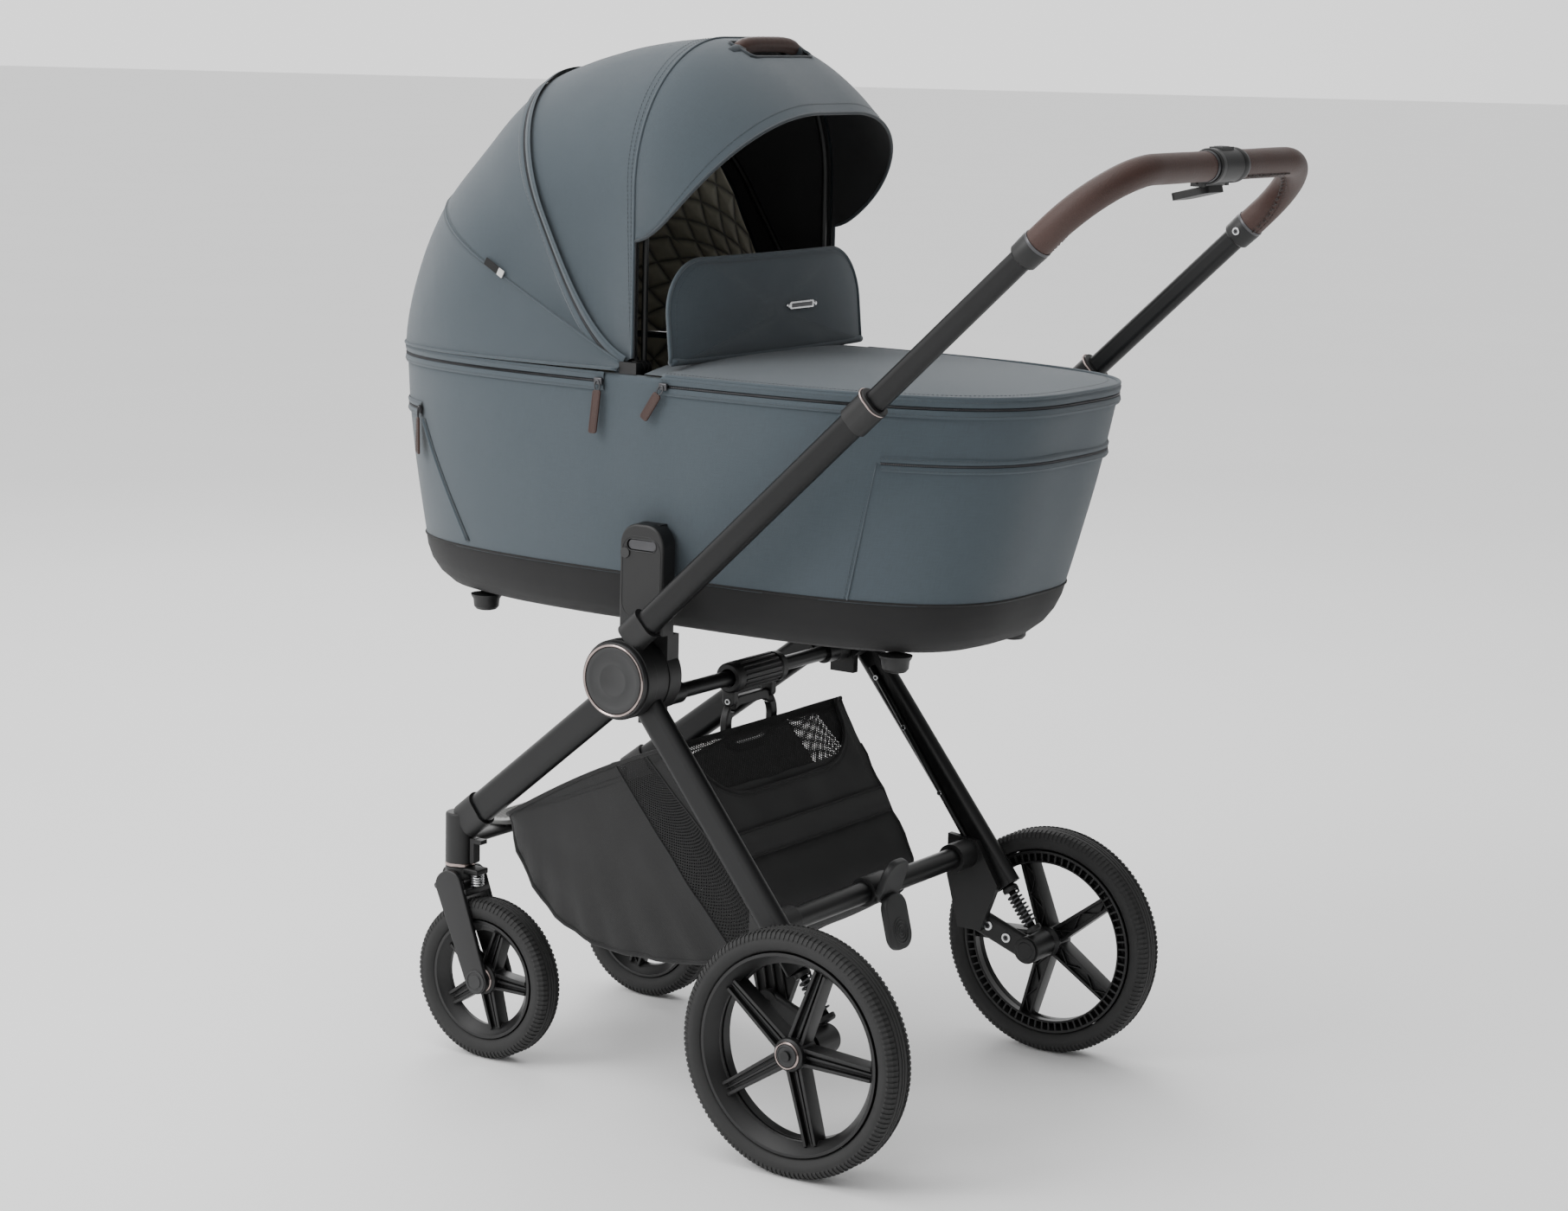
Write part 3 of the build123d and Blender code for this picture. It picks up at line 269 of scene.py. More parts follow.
def moulded(name, colour, roughness=0.48, grain=0.00006, edge=0.0008, wear=0.35):
    """Black plastic with a fine spark grain, rounded edges and a little rubbing along them."""
    shader = Shader(name, roughness)
    fine = shader.noise(1500, 2.0)
    tone = shader.noise(14, 4.0)
    base = shader.ramp(tone, 0.3, 0.7, scaled(colour, 0.8), scaled(colour, 1.25))
    rubbed = shader.math("MULTIPLY", shader.edges(edge * 1.6), wear)
    shader.colour(shader.blend(rubbed, base, scaled(colour, 2.6)))
    shader.roughness(tone, roughness - 0.07, roughness + 0.09)
    shader.bump(fine, grain, 0.6, edge)
    return shader.material


def painted(name, colour, roughness=0.36, metallic=0.35):
    """Powder-coated aluminium with faint orange peel."""
    shader = Shader(name, roughness, metallic)
    peel = shader.noise(420, 2.0)
    tone = shader.noise(9, 3.0)
    base = shader.ramp(tone, 0.3, 0.7, scaled(colour, 0.85), scaled(colour, 1.2))
    rubbed = shader.math("MULTIPLY", shader.edges(0.001), 0.2)
    shader.colour(shader.blend(rubbed, base, scaled(colour, 2.4)))
    shader.roughness(tone, roughness - 0.05, roughness + 0.08)
    shader.bump(peel, 0.00007, 0.5, 0.0006)
    return shader.material


def polished(name, colour, roughness=0.14):
    """Plated metal with faint smears."""
    shader = Shader(name, roughness, 1.0)
    smear = shader.noise(60, 4.0)
    shader.colour(shader.ramp(smear, 0.3, 0.7, scaled(colour, 0.86), colour))
    shader.roughness(smear, roughness * 0.7, roughness * 2.0)
    shader.bump(smear, 0.00002, 0.4)
    return shader.material


def leather(name, colour, scale=620):
    """Coated leather embossed with a small close pattern."""
    shader = Shader(name, 0.6)
    uv = shader.place("Object")
    cells = shader.node("ShaderNodeTexVoronoi", {"feature": "F1"}, Vector=uv, Scale=scale).outputs["Distance"]
    tone = shader.noise(18, 4.0)
    base = shader.ramp(tone, 0.3, 0.7, scaled(colour, 0.82), scaled(colour, 1.18))
    shader.colour(shader.blend(shader.math("MULTIPLY", cells, 0.5), base, scaled(colour, 1.7)))
    shader.roughness(tone, 0.48, 0.66)
    shader.bump(cells, 0.0003, 0.7)
    return shader.material


def rubber(name, colour):
    """Tyre rubber, a little dusty in random patches."""
    shader = Shader(name, 0.72)
    tone = shader.noise(22, 5.0)
    fine = shader.noise(900, 2.0)
    shader.colour(shader.ramp(tone, 0.32, 0.72, scaled(colour, 0.8), scaled(colour, 1.45)))
    shader.roughness(tone, 0.62, 0.84)
    shader.bump(fine, 0.00008, 0.6)
    return shader.material


def netting(name, colour, pitch, thread_from=0.6):
    """Knitted mesh with open diamonds. Needs a UV map in metres."""
    shader = Shader(name, 0.8)
    uv = shader.place("UV")
    turned = shader.node("ShaderNodeMapping", Vector=uv, Rotation=(0, 0, math.pi / 4)).outputs[0]
    waves = shader.waves(turned, pitch)
    thread = shader.math("MAXIMUM", waves[0], waves[1])
    solid = shader.node(
        "ShaderNodeMapRange", Value=thread, From_Min=thread_from, From_Max=thread_from + 0.12
    ).outputs[0]
    shader.tree.links.new(solid, shader.end.inputs["Alpha"])
    shader.colour(shader.ramp(shader.noise(900), 0.3, 0.7, scaled(colour, 0.7), scaled(colour, 1.3)))
    shader.bump(thread, 0.0004, 0.8)
    return shader.material


def quilted(name, colour, pitch):
    """Lining stitched in diamonds over wadding, with painted shade along the stitched valleys. Needs a UV map
    in metres.
    """
    shader = Shader(name, 0.62, sheen=0.35)
    uv = shader.place("UV")
    turned = shader.node("ShaderNodeMapping", Vector=uv, Rotation=(0, 0, math.radians(45))).outputs[0]
    waves = shader.waves(turned, 2 * pitch)
    ridges = [shader.math("ABSOLUTE", shader.math("SUBTRACT", wave, 0.5)) for wave in waves]
    low = shader.math("MINIMUM", *ridges)
    puff = shader.math("POWER", shader.math("MULTIPLY", low, 2.0), QUILT_POWER)
    crease = shader.noise(60, 5.0)
    # painted shade: the stitched valleys between the puffed diamonds are darkened to 0.16 of the colour
    shader.colour(shader.ramp(puff, 0.1, 0.8, scaled(colour, 0.16), colour))
    shader.bump(shader.math("ADD", puff, shader.math("MULTIPLY", crease, 0.5)), 0.004, 0.9)
    return shader.material


MAT = {
    "blue": woven("blue_cloth", (0.049, 0.067, 0.081), contrast=0.1),
    "blue_dark": woven("blue_tape", (0.026, 0.034, 0.041), contrast=0.1),
    "charcoal": woven("charcoal_cloth", (0.0045, 0.0044, 0.0048), contrast=0.15, sheen=0.08),
    "basket": woven("basket_cloth", (0.0115, 0.0115, 0.0118), pitch=0.0014, sheen=0.12),
    "black_lining": woven("black_lining", (0.012, 0.012, 0.013), sheen=0.1),
    "quilt": quilted("olive_quilting", (0.52, 0.50, 0.41), QUILT_PITCH),
    "mattress": woven("mattress_ticking", (0.42, 0.43, 0.43), sheen=0.15),
    "net": netting("basket_net", (0.003, 0.003, 0.0032), 0.0032, 0.42),
    "plastic": moulded("moulded_black", (0.0036, 0.0036, 0.0038)),
    "plastic_soft": moulded("moulded_satin", (0.0075, 0.0075, 0.008), 0.4, wear=0.25),
    "plastic_grey": moulded("moulded_grey", (0.018, 0.0185, 0.019), 0.5, wear=0.25),
    "footrest": moulded("footrest_grey", (0.20, 0.20, 0.195), 0.45, wear=0.2),
    "tube": painted("frame_black", (0.0055, 0.0056, 0.006)),
    "rim": moulded("rim_black", (0.0038, 0.0038, 0.004), 0.42),
    "leather": leather("leather_brown", (0.036, 0.0155, 0.0112)),
    "thread": woven("thread", (0.030, 0.020, 0.018)),
    "rose": polished("rose_plate", (0.42, 0.34, 0.32)),
    "steel": polished("bright_steel", (0.72, 0.73, 0.74), 0.2),
    "dark_steel": polished("dark_steel", (0.10, 0.10, 0.105), 0.28),
    "tyre": rubber("tyre_rubber", (0.0135, 0.0135, 0.0135)),
    "tag": woven("tag_white", (0.55, 0.55, 0.54), contrast=0.08),
}


# ---- mesh building --------------------------------------------------------------------------
def piece(name, verts, faces, material, smooth=True):
    """An object from vertices and faces."""
    mesh = bpy.data.meshes.new(name)
    mesh.from_pydata([tuple(v) for v in verts], [], faces)
    mesh.update()
    for polygon in mesh.polygons:
        polygon.use_smooth = smooth
    mesh.materials.append(MAT[material])
    made = bpy.data.objects.new(name, mesh)
    bpy.context.scene.collection.objects.link(made)
    return made


def running_length(points):
    """The distance along a line at each of its points."""
    total = [0.0]
    for first, second in zip(points, points[1:]):
        total.append(total[-1] + (second - first).length)
    return total


def surface(name, rows, material, closed=False):
    """A sheet through rows of points, with a UV map in metres. closed joins each row's ends."""
    count = len(rows[0])
    wide = count if closed else count - 1
    faces = [
        (i * count + k, i * count + (k + 1) % count, (i + 1) * count + (k + 1) % count, (i + 1) * count + k)
        for i in range(len(rows) - 1)
        for k in range(wide)
    ]
    made = piece(name, [point for row in rows for point in row], faces, material)
    middle = rows[len(rows) // 2]
    along = running_length(middle + middle[:1])
    across = running_length([row[count // 2] for row in rows])
    layer = made.data.uv_layers.new(name="UVMap")
    for face_index, polygon in enumerate(made.data.polygons):
        i, k = divmod(face_index, wide)
        corners = (
            (along[k], across[i]), (along[k + 1], across[i]), (along[k + 1], across[i + 1]),
            (along[k], across[i + 1])
        )
        for loop, corner in zip(polygon.loop_indices, corners):
            layer.data[loop].uv = corner
    return made


def frames(points, closed=False):
    """A tangent and two normals at each point of a line, turning as little as they can."""
    count = len(points)
    tangents = []
    for i in range(count):
        before = points[i - 1] if i or closed else points[i]
        after = points[(i + 1) % count] if i < count - 1 or closed else points[i]
        tangents.append((after - before).normalized())
    normal = tangents[0].orthogonal().normalized()
    found = []
    for tangent in tangents:
        normal = (normal - tangent * normal.dot(tangent)).normalized()
        found.append((tangent, normal, tangent.cross(normal)))
    return found


def tube(name, points, radius, material, sides=12, closed=False):
    """A round tube along a line of points. radius is one number or one for each point."""
    points = [Vector(p) for p in points]
    radii = radius if isinstance(radius, (list, tuple)) else [radius] * len(points)
    rows = []
    for point, size, (_, first, second) in zip(points, radii, frames(points, closed)):
        ring = round_turns(sides)
        rows.append([point + size * (math.cos(a) * first + math.sin(a) * second) for a in ring])
    if closed:
        rows.append(rows[0])
    else:
        rows = [[points[0]] * sides] + rows + [[points[-1]] * sides]
    made = surface(name, rows, material, closed=True)
    weld(made)
    return made


def weld(made, distance=0.00001):
    """Merges vertices that coincide, and turns all faces outward."""
    bm = bmesh.new()
    bm.from_mesh(made.data)
    bmesh.ops.remove_doubles(bm, verts=bm.verts, dist=distance)
    bmesh.ops.recalc_face_normals(bm, faces=bm.faces)
    bm.to_mesh(made.data)
    bm.free()


def axes(direction):
    """Two directions at right angles to an axis."""
    direction = Vector(direction).normalized()
    side = Z if abs(direction.dot(Z)) < 0.9 else Y
    first = direction.cross(side).normalized()
    return first, direction.cross(first)


def lathe(name, centre, axis, profile, material, segments=48):
    """A profile of (distance along the axis, radius) turned round the axis."""
    centre, axis = Vector(centre), Vector(axis).normalized()
    first, second = axes(axis)
    rows = []
    for along, radius in profile:
        row = []
        for k in range(segments):
            angle = 2 * math.pi * k / segments
            row.append(centre + axis * along + radius * (math.cos(angle) * first + math.sin(angle) * second))
        rows.append(row)
    made = surface(name, rows, material, closed=True)
    weld(made)
    crease(made)
    return made


def crease(made, degrees=32.0):
    """Shades the mesh smooth, with its corners sharp."""
    limit = math.radians(degrees)
    bm = bmesh.new()
    bm.from_mesh(made.data)
    for edge in bm.edges:
        edge.smooth = len(edge.link_faces) == 2 and edge.calc_face_angle(0.0) < limit
    bm.to_mesh(made.data)
    bm.free()


def bevelled(made, width, segments=3, degrees=30.0):
    """Rounds the sharp edges of a piece."""
    bm = bmesh.new()
    bm.from_mesh(made.data)
    sharp = [e for e in bm.edges if len(e.link_faces) == 2 and e.calc_face_angle(0.0) > math.radians(degrees)]
    bmesh.ops.bevel(
        bm, geom=sharp, offset=width, segments=segments, profile=0.6, affect="EDGES", clamp_overlap=True
    )
    for face in bm.faces:
        face.smooth = True
    bm.to_mesh(made.data)
    bm.free()
    crease(made, 40.0)
    return made


def block(name, centre, size, material, round_by=0.0012, turn=None):
    """A box with rounded edges. turn is a rotation matrix."""
    verts = [Vector((x, y, z)) for x in (-0.5, 0.5) for y in (-0.5, 0.5) for z in (-0.5, 0.5)]
    verts = [Vector((v.x * size[0], v.y * size[1], v.z * size[2])) for v in verts]
    if turn is not None:
        verts = [turn @ v for v in verts]
    verts = [v + Vector(centre) for v in verts]
    faces = [(0, 1, 3, 2), (4, 6, 7, 5), (0, 4, 5, 1), (2, 3, 7, 6), (0, 2, 6, 4), (1, 5, 7, 3)]
    return bevelled(piece(name, verts, faces, material), round_by)


def prism(name, outline, origin, across, up, thickness, material, round_by=0.0012):
    """A flat outline of (across, up) points, given a thickness on both sides of its plane."""
    across, up = Vector(across).normalized(), Vector(up).normalized()
    out = across.cross(up)
    count = len(outline)
    verts = []
    for shift in (-thickness / 2, thickness / 2):
        verts += [Vector(origin) + across * a + up * b + out * shift for a, b in outline]
    faces = [tuple(range(count))[::-1], tuple(range(count, 2 * count))]
    faces += [(k, (k + 1) % count, (k + 1) % count + count, k + count) for k in range(count)]
    made = piece(name, verts, faces, material)
    weld(made)
    return bevelled(made, round_by)


def rounded(width, height, corner, steps=8):
    """The outline of a rounded rectangle about the origin."""
    points = []
    for quarter, (sx, sy) in enumerate(((1, 1), (-1, 1), (-1, -1), (1, -1))):
        for k in range(steps + 1):
            angle = math.pi / 2 * (quarter + k / steps)
            points.append(
                (
                    sx * (width / 2 - corner) + corner * math.cos(angle),
                    sy * (height / 2 - corner) + corner * math.sin(angle),
                )
            )
    return points


def joined(name, pieces):
    """One piece made of several, which keeps their materials."""
    pieces = [p for p in pieces if p is not None]
    bm = bmesh.new()
    materials = []
    for part in pieces:
        for slot in part.data.materials:
            if slot not in materials:
                materials.append(slot)
        lookup = [materials.index(slot) for slot in part.data.materials]
        before = len(bm.faces)
        bm.from_mesh(part.data)
        bm.faces.ensure_lookup_table()
        for face in bm.faces[before:]:
            face.material_index = lookup[face.material_index]
    mesh = bpy.data.meshes.new(name)
    bm.to_mesh(mesh)
    bm.free()
    for slot in materials:
        mesh.materials.append(slot)
    for part in pieces:
        old = part.data
        bpy.data.objects.remove(part)
        bpy.data.meshes.remove(old)
    made = bpy.data.objects.new(name, mesh)
    bpy.context.scene.collection.objects.link(made)
    return made


def evenly(points, count):
    """Points at equal steps along a line."""
    length = running_length(points)
    result, segment = [], 0
    for k in range(count):
        at = length[-1] * k / (count - 1)
        while segment < len(points) - 2 and length[segment + 1] < at:
            segment += 1
        span = max(length[segment + 1] - length[segment], 1e-9)
        result.append(points[segment].lerp(points[segment + 1], min(1.0, (at - length[segment]) / span)))
    return result


def stitches(name, points, material="thread", radius=STITCH_R, length=STITCH_LENGTH, gap=STITCH_GAP):
    """A row of short stitches along a line."""
    total = running_length(points)[-1]
    count = max(2, int(total / (length + gap)))
    fine = evenly(points, count * 3 + 1)
    verts, faces = [], []
    for k in range(count):
        start, end = fine[3 * k], fine[3 * k + 2]
        along = (end - start).normalized()
        first, second = axes(along)
        base = len(verts)
        for point, size in ((start, 0.3), (start.lerp(end, 0.5), 1.0), (end, 0.3)):
            verts += [
                point + radius * size * (math.cos(a) * first + math.sin(a) * second)
                for a in (0, math.pi / 2, math.pi, 3 * math.pi / 2)
            ]
        for ring in (0, 4):
            for side in range(4):
                a, b = base + ring + side, base + ring + (side + 1) % 4
                faces.append((a, b, b + 4, a + 4))
    return piece(name, verts, faces, material)


def put(made, body, *replaced):
    """Gives a piece to a body, in place of some CAD nodes."""
    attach(made, body)
    if replaced:
        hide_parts(*replaced)
    return made


def wrinkle(point, size, depth, seed=0.0):
    """A smooth height from noise, the same on every run."""
    return depth * noise.noise(Vector(point) / size + Vector((seed, seed * 1.7, seed * 0.3)))


# ---- carrycot -------------------------------------------------------------------------------
COT_LOW, COT_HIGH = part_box("cot_cover")
BASE_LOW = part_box("cot_base")[0].z + 0.016       # its underside, above the feet
RIM_Z = COT_HIGH.z
SPLIT_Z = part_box("cot_base")[1].z
COT_HALF = COT_HIGH.x
COT_MID_Y = (COT_LOW.y + COT_HIGH.y) / 2
COT_HEAD = (COT_HIGH.y - COT_LOW.y) / 2
HOOD_PIVOT = joint_at("hood_rear_fold")


def plan_point(turn, inset, z):
    """A point of the carrycot's outline. turn is in degrees from the right side, through the head."""
    c, s = math.cos(math.radians(turn)), math.sin(math.radians(turn))
    head = COT_HEAD - inset
    foot = head - FOOT_LEAN * max(0.0, RIM_Z - z) / (RIM_Z - SPLIT_Z)
    x = (COT_HALF - inset) * math.copysign(abs(c) ** (2 / PLAN_POWER), c)
    y = COT_MID_Y + math.copysign(abs(s) ** (2 / PLAN_POWER), s) * (head if s >= 0 else foot)
    return Vector((x, y, z))


def wall_inset(z):
    """How far the wall stands inside the rim's outline, with a slight belly."""
    share = (RIM_Z - z) / (RIM_Z - SPLIT_Z)
    return WALL_TAPER * share - WALL_BULGE * math.sin(math.pi * min(1.0, max(0.0, share)))


def ring_of(inset, z, count=200, start=0.0, end=360.0):
    """Evenly spaced points round the outline, or along part of it."""
    turns = [start + (end - start) * k / 720 for k in range(721)]
    points = evenly([plan_point(turn, inset, z) for turn in turns], count + (end - start == 360.0))
    return points[:count]


def outward(points):
    """The level direction out of the carrycot at each point of a ring or part of one."""
    found = []
    for k in range(len(points)):
        ahead = points[min(k + 1, len(points) - 1)]
        behind = points[max(k - 1, 0)]
        found.append((ahead - behind).cross(Z).normalized())
    return found


def creased(points, depth, seed):
    """Rings pushed in and out a little, as cloth over a board is."""
    centre = Vector((0, COT_MID_Y, 0))
    moved = []
    for point in points:
        out = (Vector((point.x, point.y, 0)) - centre).normalized()
        tall = Vector((point.x, point.y, point.z * 0.45))
        moved.append(
            point + out * (wrinkle(tall, 0.07, depth, seed) + wrinkle(tall, 0.022, depth * 0.25, seed))
        )
    return moved


def cot_wall():
    """The cloth over the wall, rolled over the rim."""
    rows = []
    steps = 22
    for k in range(steps + 1):
        z = SPLIT_Z - mm(2) + (RIM_Z - mm(6) - SPLIT_Z) * k / steps
        depth = 0.0016 * math.sin(math.pi * k / steps)
        rows.append(creased(ring_of(wall_inset(z), z), depth, 1.0))
    for angle in range(15, 181, 15):
        turn = math.radians(angle)
        rows.append(ring_of(mm(6) * (1 - math.cos(turn)), RIM_Z - mm(6) + mm(6) * math.sin(turn)))
    made = put(surface("cot_wall", rows, "blue", closed=True), "carrycot", "cot_cover")
    rows = []
    for k in range(13):
        z = RIM_Z - mm(6) - LINING_DEPTH * k / 12
        rows.append(creased(ring_of(mm(12) + wall_inset(z) * 1.1, z, 160), 0.0022 * min(k, 4) / 4, 3.0))
    lining = put(surface("cot_lining", rows, "quilt", closed=True), "carrycot")


def cot_tray():
    """The dark cloth round the base, with a rounded lower edge, and the four feet."""
    low = BASE_LOW
    profile = [
        (wall_inset(SPLIT_Z), SPLIT_Z + mm(1)),
        (WALL_TAPER + mm(2), SPLIT_Z - mm(14)),
        (WALL_TAPER + mm(7), SPLIT_Z - mm(30)),
        (WALL_TAPER + mm(16), SPLIT_Z - mm(45)),
        (WALL_TAPER + mm(30), low + mm(7)),
        (WALL_TAPER + mm(48), low + mm(1)),
        (WALL_TAPER + mm(90), low),
        (WALL_TAPER + mm(190), low + mm(1)),
    ]
    rows = [creased(ring_of(inset, z), 0.0012, 5.0) for inset, z in profile]
    rows.append([Vector((0, COT_MID_Y, low + mm(1)))] * len(rows[0]))
    tray = put(surface("cot_tray", rows, "charcoal", closed=True), "carrycot", "cot_base")
    feet = []
    for sx in (-1, 1):
        for sy in (-1, 1):
            at = (sx * 0.13, COT_MID_Y + sy * 0.29, low + mm(2))
            profile = mms((0, 0), (0, 19), (3, 18), (6, 16), (15, 15), (18.5, 12), (19.5, 8), (19.5, 0))
            feet.append(lathe("foot", at, -Z, profile, "plastic", 32))
    put(joined("cot_feet", feet), "carrycot")


def ribbon(name, points, out, up, width, material, lift=0.0008, crown=0.0006):
    """A flat band along a line. out is its face's direction and up the way across it, at each point."""
    rows = []
    for k in range(7):
        across = k / 6 - 0.5
        rise = lift + crown * (1 - (2 * across) ** 2)
        rows.append([p + o * rise + u * across * width for p, o, u in zip(points, out, up)])
    return surface(name, rows, material)


def zipper(name, points, out, up, width=ZIP_TAPE, gap=0.0030):
    """A zip: a tape with a coil of teeth between two folded edges of cloth."""
    tape = ribbon("tape", points, out, up, width, "blue_dark", 0.0004, 0.0002)
    folds = []
    for side in (-1, 1):
        edge = [p + o * mm(1.1) + u * side * width * 0.33 for p, o, u in zip(points, out, up)]
        folds.append(ribbon("fold", edge, out, up, width * 0.46, "blue", 0.0004, 0.0011))
        line = [p + o * mm(2.6) + u * side * width * 0.40 for p, o, u in zip(points, out, up)]
        folds.append(stitches("stitch", line, "blue_dark"))
    total = running_length(points)[-1]
    teeth = int(total / 0.0019)
    places = evenly(points, teeth)
    outs = evenly(out, teeth)
    ups = evenly(up, teeth)
    verts, faces = [], []
    for k in range(0, teeth - 1):
        p, o, u = places[k], outs[k].normalized(), ups[k].normalized()
        along = o.cross(u) * 0.00055
        base = len(verts)
        for shift in (-1, 1):
            for a, b in ((-1, 0.0006), (-0.5, 0.0019), (0.5, 0.0019), (1, 0.0006)):
                verts.append(p + along * shift + u * a * gap / 2 + o * b)
        faces += [(base + j, base + j + 1, base + j + 5, base + j + 4) for j in range(3)]
        faces += [(base, base + 1, base + 2, base + 3), (base + 4, base + 5, base + 6, base + 7)]
    coil = piece("teeth", verts, faces, "dark_steel", smooth=False)
    return joined(name, [tape, coil] + folds)


def slider(name, at, out, along, length=0.055, lean=0.0, swing=Vector((0, 0, -1))):
    """A zip slider with a leather pull that hangs from it."""
    at, out = Vector(at) + out * mm(2), out.normalized()
    across = out.cross(along).normalized()
    turn = Matrix((along.normalized(), across, out)).transposed()
    body = block("slider", at + out * mm(1.5), mms(11, 8, 4), "dark_steel", mm(1.2), turn)
    ring_at = at + out * mm(4) + swing * mm(5)
    circle = round_turns(20)
    side = swing.cross(out).normalized()
    loop = [ring_at + side * math.cos(a) * mm(3.5) + swing * math.sin(a) * mm(6) for a in circle]
    wire = tube("wire", loop, mm(0.8), "dark_steel", 8, closed=True)
    down = (swing + side * lean).normalized()
    centre = ring_at + swing * mm(5) + down * length / 2
    strap = prism("strap", rounded(mm(11), length, mm(3)), centre, side, down, mm(2.6), "leather", mm(0.8))
    edge = rounded(mm(8), length - mm(4), mm(2))
    rim = [centre + side * a + down * b + out * mm(1.5) for a, b in edge]
    seam = stitches("seam", rim + rim[:1], "thread", mm(0.3), mm(2.2), mm(1.2))
    return joined(name, [body, wire, strap, seam])


def band_on_wall(z, start, end, count=160, lift=0.0):
    """Points on the wall at a height, with the directions out of it and up it."""
    points = ring_of(wall_inset(z) - lift, z, count, start, end)
    out = outward(points)
    return points, out, [Z] * len(points)


def turn_at(y, side, inset=0.0):
    """The turn at which the outline passes a place along one side."""
    share = max(-1.0, min(1.0, (y - COT_MID_Y) / (COT_HEAD - inset)))
    s = math.copysign(abs(share) ** (PLAN_POWER / 2), share)
    angle = math.degrees(math.asin(s))
    return angle if side > 0 else 180.0 - angle


def wall_line(y_top, z_top, y_low, z_low, side, count=24):
    """A slanted line on one side of the wall."""
    points = []
    for k in range(count):
        t = k / (count - 1)
        z = z_top + (z_low - z_top) * t
        points.append(plan_point(turn_at(y_top + (y_low - y_top) * t, side), wall_inset(z) - mm(0.4), z))
    return points


def cot_trim():
    """Zips, seams, welts and pulls on the carrycot's wall."""
    front = HOOD_PIVOT.y
    start = turn_at(front + 0.03, 1)
    points, out, up = band_on_wall(RIM_Z - mm(10), start, 180.0 - start, 260)
    parts = [zipper("hood_zip", points, out, up)]
    end = turn_at(front - 0.05, -1)
    points, out, up = band_on_wall(RIM_Z - mm(9), end, 540.0 - end, 260)
    parts.append(zipper("apron_zip", points, out, up))
    low = RIM_Z - mm(72)
    pocket = turn_at(COT_MID_Y + 0.36, -1)
    points, out, up = band_on_wall(low, 96.0, pocket, 60)
    parts.append(zipper("pocket_zip", points, out, up, mm(15)))
    foot = turn_at(COT_MID_Y - 0.31, -1)
    points, out, up = band_on_wall(low, foot, 540.0 - foot, 160)
    parts.append(zipper("foot_zip", points, out, up, mm(15)))
    for side in (-1, 1):
        seam = wall_line(COT_MID_Y - 0.305, low, COT_MID_Y - 0.29, SPLIT_Z, side)
        parts.append(tube("seam", seam, mm(1.0), "blue", 8))
        parts.append(stitches("stitch", [p + X * side * mm(0.8) + Y * mm(4) for p in seam], "blue_dark"))
        slit = wall_line(COT_MID_Y + 0.355, low - mm(12), COT_MID_Y + 0.292, SPLIT_Z + mm(8), side)
        parts.append(tube("slit", slit, mm(1.6), "blue_dark", 8))
        parts.append(tube("lip", [p + Y * mm(3.4) + X * side * mm(0.4) for p in slit], mm(2.2), "blue", 8))
    welt = ring_of(wall_inset(SPLIT_Z) - mm(0.3), SPLIT_Z, 240)
    parts.append(tube("welt", welt, mm(1.5), "charcoal", 8, closed=True))
    put(joined("cot_trim", parts), "carrycot")
    pulls = []
    for side in (-1, 1):
        spot = plan_point(turn_at(front + 0.035, side), -mm(1), RIM_Z - mm(10))
        pulls.append(slider("pull", spot, X * side, Y * side, 0.05, -0.12 * side))
        spot = plan_point(turn_at(front - 0.055, side), -mm(1), RIM_Z - mm(9))
        swing = Vector((0, 0.55, -0.83)).normalized()
        pulls.append(slider("pull", spot, X * side, Y * side, 0.036, 0.0, swing))
    spot = plan_point(pocket, wall_inset(low), low)
    out = Vector((-0.75, 0.66, 0)).normalized()
    for lean in (-0.10, 0.12):
        pulls.append(slider("pull", spot, out, out.cross(Z), 0.044, lean))
    put(joined("zip_pulls", pulls), "carrycot")


def mattress():
    """The pad on the carrycot's floor, with a rounded top edge."""
    low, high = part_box("mattress")
    half_x, half_y = high.x, (high.y - low.y) / 2
    mid = Vector((0, (high.y + low.y) / 2, 0))
    rows = []
    for share, z in ((0.90, low.z), (0.985, low.z + mm(6)), (1.0, low.z + mm(20)), (0.985, high.z - mm(8)),
                     (0.93, high.z - mm(1.5)), (0.70, high.z + mm(3)), (0.35, high.z + mm(4))):
        row = []
        for k in range(120):
            c, s = math.cos(2 * math.pi * k / 120), math.sin(2 * math.pi * k / 120)
            x = math.copysign(abs(c) ** (2 / PLAN_POWER), c) * half_x * share
            y = math.copysign(abs(s) ** (2 / PLAN_POWER), s) * half_y * share
            point = mid + Vector((x, y, z))
            row.append(point + Z * wrinkle(point, 0.05, mm(1.2) * share, 7.0))
        rows.append(row)
    rows.insert(0, [mid + Z * low.z] * 120)
    rows.append([mid + Z * (high.z + mm(4))] * 120)
    pad = put(surface("mattress_pad", rows, "mattress", closed=True), "carrycot", "mattress")


def crown(share):
    """How far the apron stands above the rim, where share is 1 at its edge and 0 in its middle."""
    return APRON_STEP + APRON_CROWN * (1 - share ** 3.0)


def apron_foot(end):
    """The rounded part of the apron over the foot end."""
    rows = []
    for k in range(15):
        share = 1.0 - (k / 14) ** 1.3
        row = []
        for j in range(121):
            edge = plan_point(180.0 + 180.0 * j / 120, mm(1.5), RIM_Z)
            y = min(edge.y, end)
            if y < COT_MID_Y:
                y = COT_MID_Y + (y - COT_MID_Y) * share
            point = Vector((edge.x * share, min(y, end), RIM_Z))
            point.z += crown(share) + wrinkle(point, 0.06, mm(1.6), 9.0) * (1 - share)
            row.append(point)
        rows.append(row)
    return surface("apron_cover", rows, "blue")


